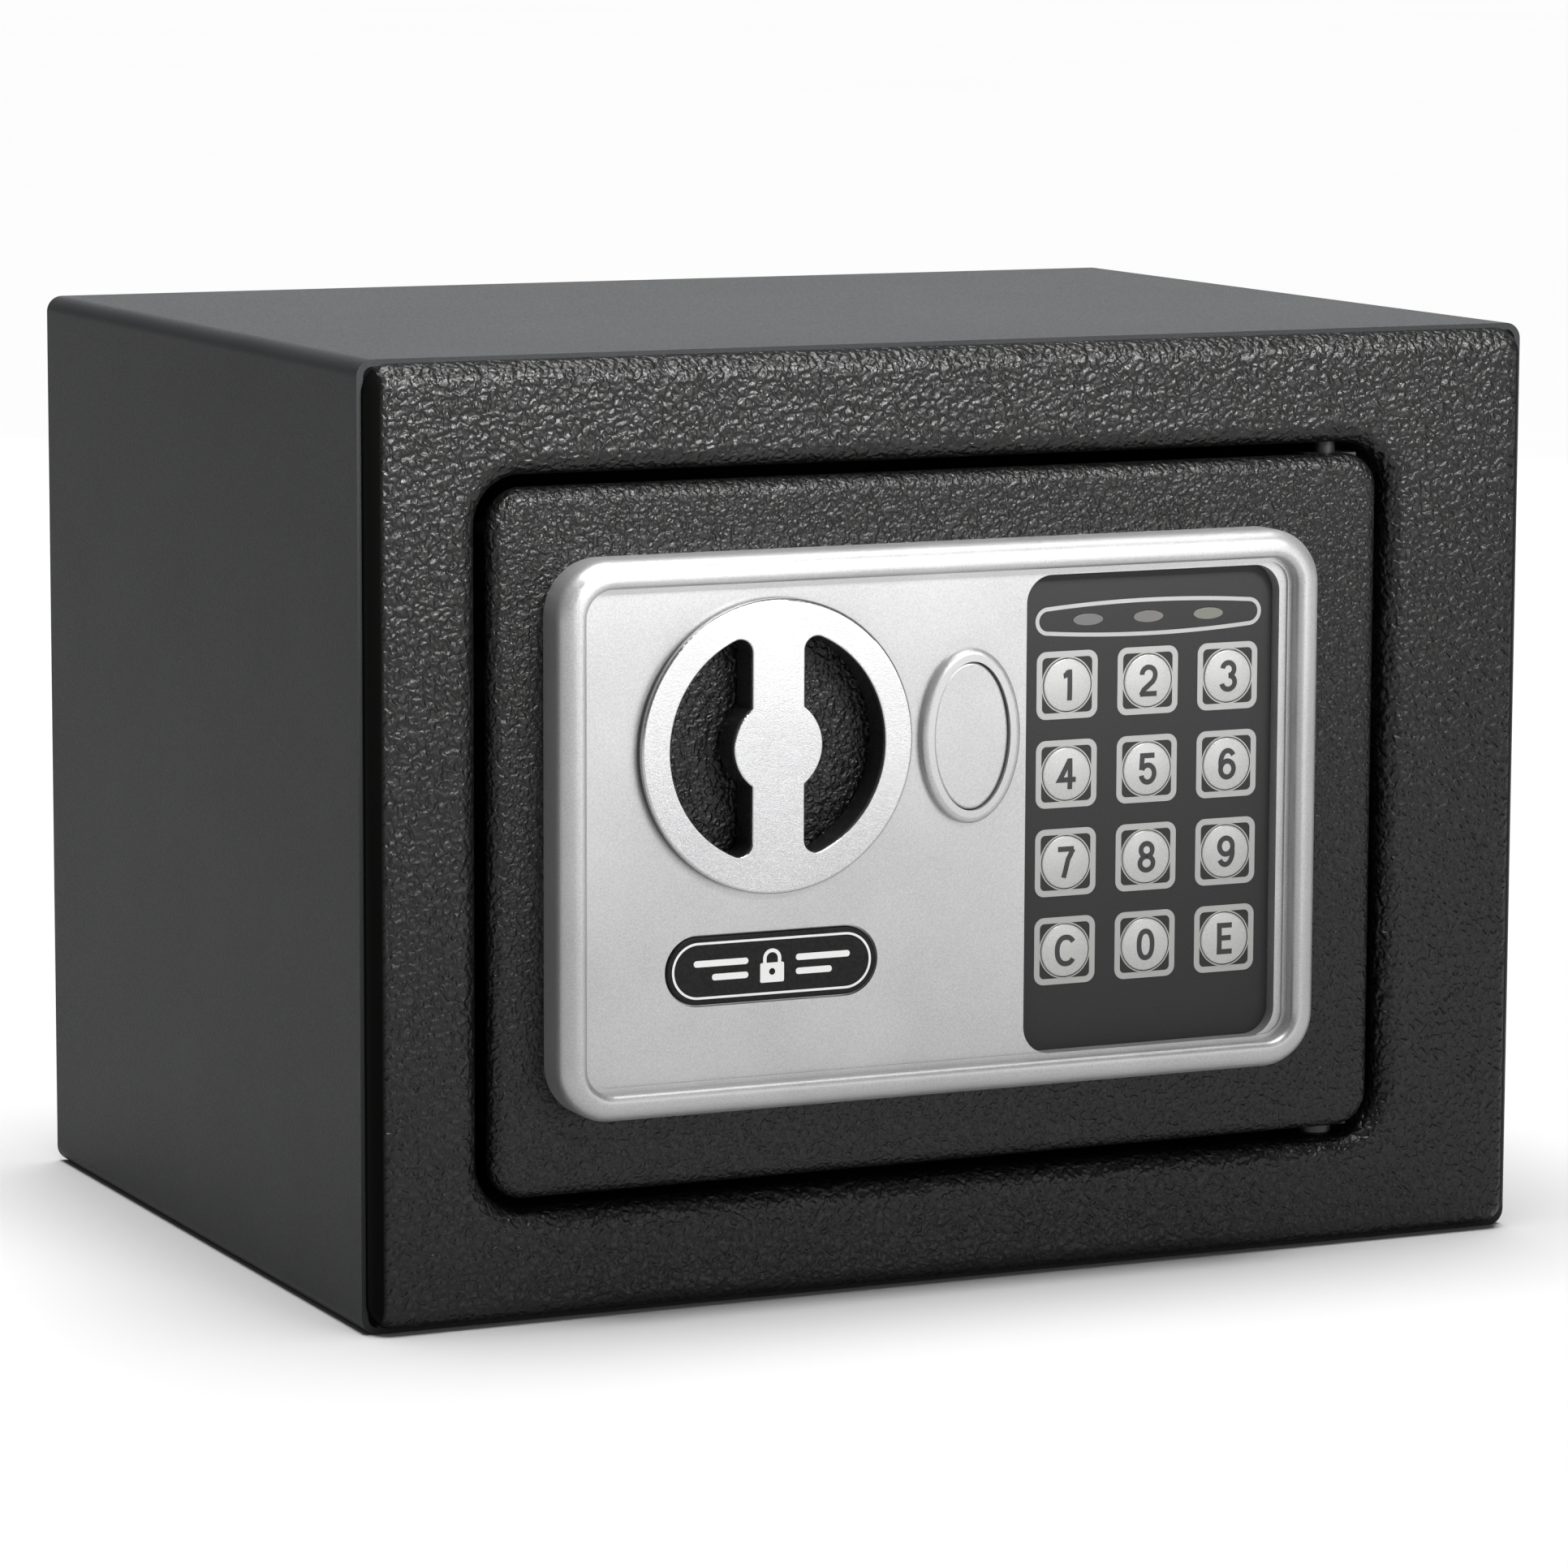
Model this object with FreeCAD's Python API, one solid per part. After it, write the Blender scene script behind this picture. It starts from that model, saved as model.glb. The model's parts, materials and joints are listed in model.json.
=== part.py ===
# Compact steel security safe with an electronic keypad lock.
# Millimetres. X is the width (+X right, seen from the front), Y the depth (+Y to the back),
# Z up. The origin is the middle of the base: the body reaches half its depth each way.
import FreeCAD, Part
import math
import os

V = FreeCAD.Vector
RIGHT, BACK, UP = V(1, 0, 0), V(0, 1, 0), V(0, 0, 1)

# ---------------------------------------------------------------- driving dimensions
# Body
BODY_W, BODY_D, BODY_H = 230.0, 170.0, 170.0
FRONT_Y, REAR_Y = -BODY_D / 2, BODY_D / 2
SHEET = 1.2                   # shell, back plate and door pan
SHELL_BEND = 3.0              # outside radius of the shell's folds
FRONT_SHEET = 1.5             # pressed front frame
FRAME_EDGE = 3.9              # bull-nose of the frame's outer edge
FRAME_INSET = 0.8             # the shell's cut edge shows this much round the frame
FRAME_CORNER = 5.0
FRAME_TONGUE = 8.0            # how far the frame reaches into the shell
SHELL_FRONT_Y = FRONT_Y + 4.0
BACK_PLATE_RECESS = 0.8
ANCHOR_R, ANCHOR_SPACING = 5.0, 130.0
BASE_ANCHOR_Y, BACK_ANCHOR_Z = 20.0, 85.0
MAT_X0, MAT_X1, MAT_Y0, MAT_Y1, MAT_T = -111.0, 111.0, -64.0, 80.0, 2.0
MAT_HOLE_R = ANCHOR_R + 1.0
STRIKE_Z0, STRIKE_Z1, STRIKE_T = 45.0, 127.0, 3.0

# Door opening in the front frame
OPEN_X0, OPEN_X1, OPEN_Z0, OPEN_Z1 = -94.0, 85.5, 20.3, 149.3
OPEN_CORNER, LIP_R = 8.5, 4.0
JAMB_DEPTH = 18.4

# Door
DOOR_GAP, DOOR_PLATE, DOOR_EDGE = 2.0, 3.0, 2.8
PLATE_BACK_Y = FRONT_Y + DOOR_PLATE
PAN_X0, PAN_X1, PAN_Z0, PAN_Z1 = -84.0, 70.0, 30.5, 139.5
PAN_BACK_Y = -50.0
PAN_FLANGE, PAN_CORNER = 7.0, 3.0
COVER_SCREW_R, COVER_SCREW_HEAD_R, COVER_SCREW_HEAD = 1.5, 2.8, 1.6
CROSS_LONG, CROSS_WIDE = 1.5, 0.3   # half length and half width of the cross recess
PANEL_SCREW_R, PANEL_SCREW_HEAD_R, PANEL_SCREW_HEAD = 1.2, 2.8, 1.8
PANEL_SCREW_HOLE_R = 1.7

# Hinge
HINGE_X, HINGE_Y = 75.0, FRONT_Y + 6.0
HINGE_PIN_R, HINGE_PIN_HEAD_R, HINGE_CLEARANCE = 2.0, 3.5, 0.04
HINGE_PIN_HEAD = 1.5
HINGE_BRACKET = 3.0
BRACKET_X0, BRACKET_X1, BRACKET_BACK_Y = HINGE_X - 10.0, HINGE_X + 8.0, FRONT_Y + 14.0
BRACKET_BEVEL = 2.3           # clears the frame's rolled lip
WASHER_R, WASHER_BEVEL = 3.2, 0.7
LUG_H, LUG_W, LUG_ROUND = 11.0, 10.0, 3.0

# Silver face plate on the door
PANEL_X0, PANEL_X1, PANEL_Z0, PANEL_Z1 = -82.3, 67.3, 36.3, 134.9
PANEL_CORNER, RIM_W, RIM_H = 10.0, 5.0, 8.5
FIELD_Y = FRONT_Y - 5.2
PANEL_WALL = 1.6
RIM_BEAD_W, RIM_BEAD_H = 0.9, 0.45
RIM_ROUND_IN, RIM_ROUND_OUT = 1.4, 3.3
BOSS_R, POCKET_WALL = 3.4, 1.4   # screw bosses and the walls round the rear openings

# Control knob
KNOB_X, KNOB_Z = -40.8, 100.9
KNOB_R, KNOB_WINDOW_R, KNOB_BAR_W, KNOB_HUB_R = 26.1, 20.7, 10.0, 8.5
KNOB_FRONT_Y, KNOB_BACK_Y, KNOB_FACE_T = FRONT_Y - 7.4, FRONT_Y - 0.7, 0.9
KNOB_WINDOW_CORNER = 2.4
KNOB_ROUND, KNOB_WINDOW_ROUND = 0.5, 0.25
KNOB_HOLE_R = 24.4            # hole in the face plate behind the knob
SPINDLE_R, SPINDLE_CLEARANCE = 4.0, 0.05
SPINDLE_NECK_R, SPINDLE_SOCKET = SPINDLE_R - 1.0, 2.5
BUSH_R, BUSH_FLANGE_R, BUSH_FLANGE = 6.0, 9.0, 2.0
CLIP_R, CLIP_T, CLIP_MOUTH = SPINDLE_R + 2.2, 0.8, 4.4
GROOVE_R, GROOVE_W = SPINDLE_R - 0.6, 0.9

# Emergency key lock and its oval cover
LOCK_X, LOCK_Z = -2.8, 100.6
OVAL_W, OVAL_H, OVAL_PROUD, OVAL_ROUND = 19.6, 31.4, 1.9, 1.1
PLUG_W, PLUG_H, PLUG_PROUD, PLUG_DEPTH, PLUG_ROUND = 14.8, 26.4, 1.2, 0.9, 0.5
LOCK_BODY_R, LOCK_PLUG_R = 6.2, 4.4
LOCK_CLEARANCE = 0.05
NUT_R, NUT_T, NUT_FLAT = 9.0, 3.0, 8.0

# Keypad
PAD_X0, PAD_X1, PAD_Z0, PAD_Z1 = 8.7, 59.9, 42.0, 128.5
PAD_CORNER, PAD_DEPTH = 5.0, 2.6
PAD_Y = FIELD_Y + PAD_DEPTH   # face of the printed membrane
MEMBRANE = 0.8
KEY_ROWS = (("1", "2", "3"), ("4", "5", "6"), ("7", "8", "9"), ("clear", "0", "enter"))
KEY_X0, KEY_PITCH_X = 18.2, 16.3
KEY_Z_TOP, KEY_PITCH_Z = 108.2, 16.07
KEY_R, KEY_FLANGE_R, KEY_PROUD, KEY_ROUND = 4.8, 5.7, 0.45, 0.3
KEY_HOLE_R, KEY_WELL_R = 4.9, 6.0
KEY_TRAVEL, KEY_FOOT = 0.6, 0.8
LENS_W, LENS_H, LENS_Z, LENS_PITCH = 6.2, 2.3, 119.8, 12.2
LENS_LEDGE_W, LENS_LEDGE_H = LENS_W - 1.2, LENS_H - 0.6
LENS_PROUD, LENS_ROUND = 0.1, 0.08
LED_HALF_W, LED_HALF_H, LED_T = 1.4, 0.8, 1.0
BOARD_T = 1.6
CHIP_X0, CHIP_X1, CHIP_Z0, CHIP_Z1, CHIP_T = 24.0, 40.0, 78.0, 84.0, 1.8
CAPACITOR_R, CAPACITOR_XS, CAPACITOR_Z, CAPACITOR_T = 2.0, (18.0, 50.0), 64.0, 4.4
BUZZER_X, BUZZER_Z, BUZZER_R, BUZZER_T = 34.0, 96.0, 5.0, 5.4

# Badge
BADGE_X, BADGE_Z, BADGE_W, BADGE_H = -41.0, 61.7, 41.2, 12.8
BADGE_GAP, BADGE_DEPTH, BADGE_PROUD, BADGE_ROUND = 0.3, 0.8, 0.1, 0.4

# Boltwork
BOLT_R, BOLT_Y = 6.0, -60.0
BOLT_ZS = (60.0, 112.0)
BOLT_TRAVEL = 16.0
BOLT_CLEARANCE = 0.06
CARRIER_Y0, CARRIER_T = -68.5, 2.5
CRANK_R = BOLT_TRAVEL / 2 / math.sin(math.radians(45))
CRANK_PIN_R, CRANK_SLOT_W = 2.0, 5.0
CRANK_T, CRANK_HUB_R, CRANK_ARM_HALF = 3.0, 8.0, 4.0
CARRIER_X0, CARRIER_LEG_X1, CARRIER_HEAD_X1 = -64.0, -37.8, -11.0
EAR_T, EAR_HALF = 2.5, 9.0
SPIGOT_R, RIVET_R, RIVET_T = 3.5, 5.0, 1.5
POST_R, POST_FOOT_R, POST_CLEARANCE = 2.5, 4.0, 0.06

# Battery box: four AA cells side by side
CELL_R, CELL_L, CELL_COUNT = 7.2, 50.5, 4
CELL_PITCH = 14.9
BOX_WALL, BOX_GAP = 1.2, 0.3
BOX_X1, BOX_Z0 = 68.2, 58.0
LID_T, LID_REST = 1.6, 1.4    # the lid's thickness and how far it sinks into the cover
CONTACT_T, CONTACT_HALF = 0.5, 5.0
SPRING_R, SPRING_REACH, PIP_R, PIP_REACH = 3.4, 2.9, 2.0, 2.6
GRIP_HALF, GRIP_W = 12.0, 0.9


# ---------------------------------------------------------------- solid helpers
def box(x0, x1, y0, y1, z0, z1):
    return Part.makeBox(x1 - x0, y1 - y0, z1 - z0, V(x0, y0, z0))


def rod(radius, start, end, axis):
    """A round bar from one point, along X, Y or Z, as far as the coordinate end."""
    length = (end - start.x, end - start.y, end - start.z)[(RIGHT, BACK, UP).index(axis)]
    if length < 0:
        return Part.makeCylinder(radius, -length, start + axis * length, axis)
    return Part.makeCylinder(radius, length, start, axis)


def rounded_block(x0, x1, z0, z1, corner, y0, y1):
    """A block along Y whose outline in XZ is a rectangle with round corners."""
    block = box(x0, x1, y0, y1, z0, z1)
    corners = [e for e in block.Edges if abs(e.tangentAt(e.FirstParameter).y) > 0.5]
    return block.makeFillet(corner, corners)


def ellipse_block(x, z, width, height, y0, y1):
    """A bar along Y with an ellipse as its section, upright or lying."""
    ends = [V(x, y0, z + height / 2), V(x + width / 2, y0, z)]
    if width > height:
        ends.reverse()
    curve = Part.Ellipse(*ends, V(x, y0, z))
    face = Part.Face(Part.Wire(curve.toShape()))
    return face.extrude(V(0, y1 - y0, 0))


def stadium_block(x, z, width, height, y0, y1):
    """A bar along Y with a rectangle and two half-round ends as its section."""
    return rounded_block(x - width / 2, x + width / 2, z - height / 2, z + height / 2,
                         height / 2 - 0.01, y0, y1)


def edges_at(shape, y, inside=None):
    """The edges that lie whole in the plane Y = y, within an X, Z window if one is given."""
    found = []
    for edge in shape.Edges:
        b = edge.BoundBox
        if abs(b.YMin - y) > 1e-4 or abs(b.YMax - y) > 1e-4:
            continue
        if inside:
            x0, x1, z0, z1 = inside
            if b.XMin < x0 or b.XMax > x1 or b.ZMin < z0 or b.ZMax > z1:
                continue
        found.append(edge)
    return found


def union(shapes):
    whole = shapes[0].fuse(shapes[1:]) if len(shapes) > 1 else shapes[0]
    return whole.removeSplitter()


def group(shapes):
    return Part.makeCompound(shapes)


def grown(amount, x0, x1, z0, z1):
    return x0 - amount, x1 + amount, z0 - amount, z1 + amount


OPENING = (OPEN_X0, OPEN_X1, OPEN_Z0, OPEN_Z1)
PANEL = (PANEL_X0, PANEL_X1, PANEL_Z0, PANEL_Z1)
PAD = (PAD_X0, PAD_X1, PAD_Z0, PAD_Z1)
PAN = (PAN_X0, PAN_X1, PAN_Z0, PAN_Z1)
DOOR = grown(-DOOR_GAP, *OPENING)
SHELL_OUTER = (-BODY_W / 2, BODY_W / 2, 0.0, BODY_H)
SHELL_INNER = grown(-SHEET, *SHELL_OUTER)


# ---------------------------------------------------------------- cabinet
def anchor_holes_in_base():
    return [rod(ANCHOR_R, V(x, BASE_ANCHOR_Y, -5), 10, UP)
            for x in (-ANCHOR_SPACING / 2, ANCHOR_SPACING / 2)]


def make_cabinet_shell():
    outer = rounded_block(*SHELL_OUTER, SHELL_BEND, SHELL_FRONT_Y, REAR_Y)
    inner = rounded_block(*SHELL_INNER, SHELL_BEND - SHEET, SHELL_FRONT_Y - 5, REAR_Y + 5)
    return outer.cut(inner).cut(group(anchor_holes_in_base()))


def make_back_plate():
    rear = REAR_Y - BACK_PLATE_RECESS
    plate = rounded_block(*SHELL_INNER, SHELL_BEND - SHEET, rear - SHEET, rear)
    holes = [rod(ANCHOR_R, V(x, rear - 5, BACK_ANCHOR_Z), rear + 5, BACK)
             for x in (-ANCHOR_SPACING / 2, ANCHOR_SPACING / 2)]
    return plate.cut(group(holes))


def make_front_frame():
    """Pressed frame: bull-nose outside, a tongue inside the shell, a rolled lip and jamb."""
    face = rounded_block(*grown(-FRAME_INSET, *SHELL_OUTER), FRAME_CORNER,
                         FRONT_Y, SHELL_FRONT_Y)
    face = face.makeFillet(FRAME_EDGE, edges_at(face, FRONT_Y))
    tongue_back = SHELL_FRONT_Y + FRAME_TONGUE
    tongue = rounded_block(*SHELL_INNER, SHELL_BEND - SHEET, SHELL_FRONT_Y, tongue_back)
    jamb_back = FRONT_Y + JAMB_DEPTH
    jamb = rounded_block(*grown(FRONT_SHEET, *OPENING), OPEN_CORNER + FRONT_SHEET,
                         SHELL_FRONT_Y, jamb_back)
    opening = rounded_block(*OPENING, OPEN_CORNER, FRONT_Y - 5, jamb_back + 5)
    frame = union([face, tongue, jamb]).cut(opening)
    lip = edges_at(frame, FRONT_Y, grown(1.0, *OPENING))
    frame = frame.makeFillet(LIP_R, lip)

    hollow_front = FRONT_Y + FRONT_SHEET
    hollow = rounded_block(*grown(-FRONT_SHEET, *SHELL_INNER), SHELL_BEND,
                           hollow_front, jamb_back + 5)
    core = rounded_block(*grown(FRONT_SHEET, *OPENING), OPEN_CORNER + FRONT_SHEET,
                         hollow_front - 5, jamb_back + 6)
    hollow = hollow.cut(core)
    hollow = hollow.makeFillet(LIP_R - FRONT_SHEET,
                               edges_at(hollow, hollow_front, grown(3.0, *OPENING)))
    pin_hole = rod(HINGE_PIN_R + 0.1, V(HINGE_X, HINGE_Y, OPEN_Z0 - 4), OPEN_Z1 + 4, UP)
    return frame.cut(hollow).cut(pin_hole)


def make_strike_plate():
    """Stiffener behind the left jamb, where the bolts bear."""
    x1 = OPEN_X0 - FRONT_SHEET
    return box(x1 - STRIKE_T, x1, SHELL_FRONT_Y, FRONT_Y + JAMB_DEPTH, STRIKE_Z0, STRIKE_Z1)


def hinge_ends():
    """For the lower and the upper hinge: the jamb's outer face and the outward sign."""
    return ((OPEN_Z0 - FRONT_SHEET, -1), (OPEN_Z1 + FRONT_SHEET, 1))


def make_hinge_brackets():
    brackets = []
    for z, out in hinge_ends():
        z0, z1 = sorted((z, z + out * HINGE_BRACKET))
        front = FRONT_Y + FRONT_SHEET + 0.5
        plate = box(BRACKET_X0, BRACKET_X1, front, BRACKET_BACK_Y, z0, z1)
        bend = [e for e in plate.Edges if abs(e.tangentAt(e.FirstParameter).x) > 0.5
                and e.BoundBox.YMax < front + 0.01 and abs(e.BoundBox.ZMin - z) < 0.01]
        plate = plate.makeChamfer(BRACKET_BEVEL, bend)
        hole = rod(HINGE_PIN_R, V(HINGE_X, HINGE_Y, z0 - 5), z1 + 5, UP)
        brackets.append(plate.cut(hole))
    return group(brackets)


def make_hinge_pins():
    pins = []
    for z, out in hinge_ends():
        seat = z + out * HINGE_BRACKET
        tip = z - out * (FRONT_SHEET + DOOR_GAP + LUG_H - 0.8)
        shank = rod(HINGE_PIN_R, V(HINGE_X, HINGE_Y, seat), tip, UP)
        head = rod(HINGE_PIN_HEAD_R, V(HINGE_X, HINGE_Y, seat), seat + out * HINGE_PIN_HEAD, UP)
        tip_edge = [e for e in shank.Edges if abs(e.BoundBox.ZMin - tip) < 1e-4
                    and abs(e.BoundBox.ZMax - tip) < 1e-4]
        pins.append(union([shank.makeChamfer(0.5, tip_edge), head]))
    return group(pins)


def make_hinge_washer():
    ring = rod(WASHER_R, V(HINGE_X, HINGE_Y, OPEN_Z0), OPEN_Z0 + DOOR_GAP - 0.1, UP)
    foot = [e for e in ring.Edges if e.BoundBox.ZMax < OPEN_Z0 + 0.01]
    ring = ring.makeChamfer(WASHER_BEVEL, foot)
    return ring.cut(rod(HINGE_PIN_R + 0.2, V(HINGE_X, HINGE_Y, OPEN_Z0 - 1), OPEN_Z0 + 5, UP))


def make_floor_mat():
    mat = box(MAT_X0, MAT_X1, MAT_Y0, MAT_Y1, SHEET, SHEET + MAT_T)
    holes = [rod(MAT_HOLE_R, V(x, BASE_ANCHOR_Y, -5), 10, UP)
             for x in (-ANCHOR_SPACING / 2, ANCHOR_SPACING / 2)]
    return mat.cut(group(holes))


# ---------------------------------------------------------------- door leaf
PANEL_SCREW_XZ = ((-73.0, 45.5), (-73.0, 125.5), (3.4, 45.5), (3.4, 125.5))
COVER_SCREW_XZ = [(x, z) for x in (PAN_X0 + 5.0, -8.0, PAN_X1 - 4.6)
                  for z in (PAN_Z0 + 5.0, PAN_Z1 - 5.0)]
GUIDE_POST_XZ = ((-59.0, 74.0), (-59.0, 92.0))
BOARD = (10.5, 58.5, 50.0, 126.0)


def make_door_plate():
    plate = rounded_block(*DOOR, OPEN_CORNER - DOOR_GAP, FRONT_Y, PLATE_BACK_Y)
    plate = plate.makeFillet(DOOR_EDGE, edges_at(plate, FRONT_Y))
    far = FRONT_Y - 5, PLATE_BACK_Y + 5
    holes = [rod(BUSH_R, V(KNOB_X, far[0], KNOB_Z), far[1], BACK),
             rod(LOCK_BODY_R, V(LOCK_X, far[0], LOCK_Z), far[1], BACK),
             rounded_block(*grown(0.4, *BOARD), 2.0, *far)]
    holes += [rod(PANEL_SCREW_HOLE_R, V(x, far[0], z), far[1], BACK)
              for x, z in PANEL_SCREW_XZ]
    return plate.cut(group(holes))


def make_door_pan():
    """Folded box on the plate's back, with a flange for the inner cover and two bolt holes."""
    outer = rounded_block(*PAN, PAN_CORNER, PLATE_BACK_Y, PAN_BACK_Y)
    inner = rounded_block(*grown(-SHEET, *PAN), PAN_CORNER - SHEET,
                          PLATE_BACK_Y - 1, PAN_BACK_Y - SHEET)
    window = rounded_block(*grown(-PAN_FLANGE, *PAN), 2.0, PAN_BACK_Y - 5, PAN_BACK_Y + 5)
    battery = box(BOX_X1 - box_width() - BOX_GAP, PAN_X1 - SHEET,
                  PAN_BACK_Y - 5, PAN_BACK_Y + 5,
                  BOX_Z0 - BOX_GAP, BOX_Z0 + box_height() + BOX_GAP)
    holes = [rod(BOLT_R + BOLT_CLEARANCE, V(PAN_X0 - 5, BOLT_Y, z), PAN_X0 + 5, RIGHT)
             for z in BOLT_ZS]
    holes += [rod(COVER_SCREW_R, V(x, PAN_BACK_Y - 5, z), PAN_BACK_Y + 5, BACK)
              for x, z in COVER_SCREW_XZ]
    return outer.cut(inner).cut(window).cut(battery).cut(group(holes))


def make_hinge_lugs():
    lugs = []
    for z, out in ((DOOR[2], 1), (DOOR[3], -1)):
        z0, z1 = sorted((z, z + out * LUG_H))
        block = box(HINGE_X - LUG_W / 2, HINGE_X + LUG_W / 2, PLATE_BACK_Y, HINGE_Y + 4.0,
                    z0, z1)
        rear = [e for e in block.Edges if abs(e.tangentAt(e.FirstParameter).z) > 0.5
                and e.BoundBox.YMin > HINGE_Y + 3]
        bore = rod(HINGE_PIN_R + HINGE_CLEARANCE, V(HINGE_X, HINGE_Y, z0 - 5), z1 + 5, UP)
        lugs.append(block.makeFillet(LUG_ROUND, rear).cut(bore))
    return group(lugs)


def make_inner_cover():
    cover = rounded_block(*PAN, PAN_CORNER, PAN_BACK_Y, PAN_BACK_Y + SHEET)
    far = PAN_BACK_Y - 5, PAN_BACK_Y + 5
    x0 = BOX_X1 - box_width()
    holes = [box(x0 - BOX_GAP, BOX_X1 + BOX_GAP, *far,
                 BOX_Z0 - BOX_GAP, BOX_Z0 + box_height() + BOX_GAP),
             rod(RESET_R + 0.15, V(RESET_X, far[0], RESET_Z), far[1], BACK)]
    holes += [rod(COVER_SCREW_R, V(x, far[0], z), far[1], BACK) for x, z in COVER_SCREW_XZ]
    return cover.cut(group(holes))


def make_cover_screws():
    screws = []
    seat = PAN_BACK_Y + SHEET
    top = seat + COVER_SCREW_HEAD
    for x, z in COVER_SCREW_XZ:
        head = rod(COVER_SCREW_HEAD_R, V(x, seat, z), top, BACK)
        head = head.makeFillet(1.0, edges_at(head, top))
        shank = rod(COVER_SCREW_R, V(x, PAN_BACK_Y - 5.0, z), seat, BACK)
        cross = [box(x - a, x + a, top - 0.9, top + 1, z - b, z + b)
                 for a, b in ((CROSS_LONG, CROSS_WIDE), (CROSS_WIDE, CROSS_LONG))]
        screws.append(union([head, shank]).cut(union(cross)))
    return group(screws)


# ---------------------------------------------------------------- face plate and keypad
def key_places():
    """Name, X and Z of each key, row by row from the top left."""
    for row, names in enumerate(KEY_ROWS):
        for column, name in enumerate(names):
            yield name, KEY_X0 + column * KEY_PITCH_X, KEY_Z_TOP - row * KEY_PITCH_Z


def make_face_plate():
    """Moulded escutcheon: a rolled rim round a flat field, with the keypad's recess."""
    crest = FRONT_Y - RIM_H
    body = rounded_block(*PANEL, PANEL_CORNER, crest, FRONT_Y)
    body = body.makeFillet(RIM_ROUND_OUT, edges_at(body, crest))
    dish = rounded_block(*grown(-RIM_W, *PANEL), PANEL_CORNER - RIM_W, crest - 5, FIELD_Y)
    body = body.cut(dish)
    inner_edge = edges_at(body, crest, grown(-RIM_W + 0.1, *PANEL))
    body = body.makeFillet(RIM_ROUND_IN, inner_edge)

    bead_outer = grown(-RIM_W + 0.01, *PANEL)
    bead = rounded_block(*bead_outer, PANEL_CORNER - RIM_W, FIELD_Y - RIM_BEAD_H, FIELD_Y + 0.5)
    bead = bead.cut(rounded_block(*grown(-RIM_BEAD_W, *bead_outer),
                                  PANEL_CORNER - RIM_W - RIM_BEAD_W,
                                  FIELD_Y - 5, FIELD_Y + 5))
    ring_front = FIELD_Y - OVAL_PROUD
    ring = ellipse_block(LOCK_X, LOCK_Z, OVAL_W, OVAL_H, ring_front, FIELD_Y + 0.5)
    ring = ring.makeFillet(OVAL_ROUND, edges_at(ring, ring_front))

    hollow_front = FIELD_Y + PANEL_WALL
    hollow = rounded_block(*grown(-RIM_W - PANEL_WALL, *PANEL), 3.0, hollow_front, FRONT_Y + 1)
    keypad_floor = rounded_block(*grown(POCKET_WALL, *PAD), PAD_CORNER + POCKET_WALL,
                                 hollow_front - 0.5, PAD_Y + MEMBRANE + 1.0)
    ribs = [rod(KNOB_HOLE_R + POCKET_WALL, V(KNOB_X, hollow_front, KNOB_Z), FRONT_Y, BACK),
            ellipse_block(LOCK_X, LOCK_Z, PLUG_W + 2.4, PLUG_H + 2.4, hollow_front, FRONT_Y),
            keypad_floor]
    ribs += [rod(BOSS_R, V(x, hollow_front, z), FRONT_Y, BACK) for x, z in PANEL_SCREW_XZ]
    body = body.cut(hollow.cut(union(ribs)))
    body = union([body, bead, ring])

    far = FIELD_Y - 5, FRONT_Y + 5
    cuts = [rod(KNOB_HOLE_R, V(KNOB_X, far[0], KNOB_Z), far[1], BACK),
            ellipse_block(LOCK_X, LOCK_Z, PLUG_W - 1.6, PLUG_H - 1.6, *far),
            ellipse_block(LOCK_X, LOCK_Z, PLUG_W + 0.3, PLUG_H + 0.3, far[0], FIELD_Y + 1.0),
            rounded_block(*PAD, PAD_CORNER, far[0], PAD_Y + MEMBRANE),
            stadium_block(BADGE_X, BADGE_Z, BADGE_W, BADGE_H, far[0], FIELD_Y + BADGE_DEPTH)]
    for _, x, z in key_places():
        cuts.append(rod(KEY_WELL_R, V(x, PAD_Y, z), far[1], BACK))
    for x in lens_places():
        cuts.append(ellipse_block(x, LENS_Z, LENS_LEDGE_W, LENS_LEDGE_H, PAD_Y, far[1]))
    for x, z in PANEL_SCREW_XZ:
        cuts.append(rod(PANEL_SCREW_R, V(x, FRONT_Y - 3.6, z), far[1], BACK))
    return body.cut(group(cuts))


def make_face_plate_screws():
    screws = []
    for x, z in PANEL_SCREW_XZ:
        shank = rod(PANEL_SCREW_R, V(x, FRONT_Y - 3.4, z), PLATE_BACK_Y, BACK)
        head = rod(PANEL_SCREW_HEAD_R, V(x, PLATE_BACK_Y, z), PLATE_BACK_Y + PANEL_SCREW_HEAD,
                   BACK)
        screws.append(union([shank, head]))
    return group(screws)


def make_badge():
    front = FIELD_Y - BADGE_PROUD
    badge = stadium_block(BADGE_X, BADGE_Z, BADGE_W - 2 * BADGE_GAP, BADGE_H - 2 * BADGE_GAP,
                          front, FIELD_Y + BADGE_DEPTH)
    return badge.makeFillet(BADGE_ROUND, edges_at(badge, front))


def lens_places():
    middle = KEY_X0 + KEY_PITCH_X
    return [middle + i * LENS_PITCH for i in (-1, 0, 1)]


def make_keypad_membrane():
    sheet = rounded_block(*grown(-0.1, *PAD), PAD_CORNER - 0.1, PAD_Y, PAD_Y + MEMBRANE)
    cuts = [rod(KEY_HOLE_R, V(x, PAD_Y - 1, z), PAD_Y + 2, BACK) for _, x, z in key_places()]
    cuts += [ellipse_block(x, LENS_Z, LENS_W, LENS_H, PAD_Y - 1, PAD_Y + 2)
             for x in lens_places()]
    return sheet.cut(group(cuts))


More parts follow.
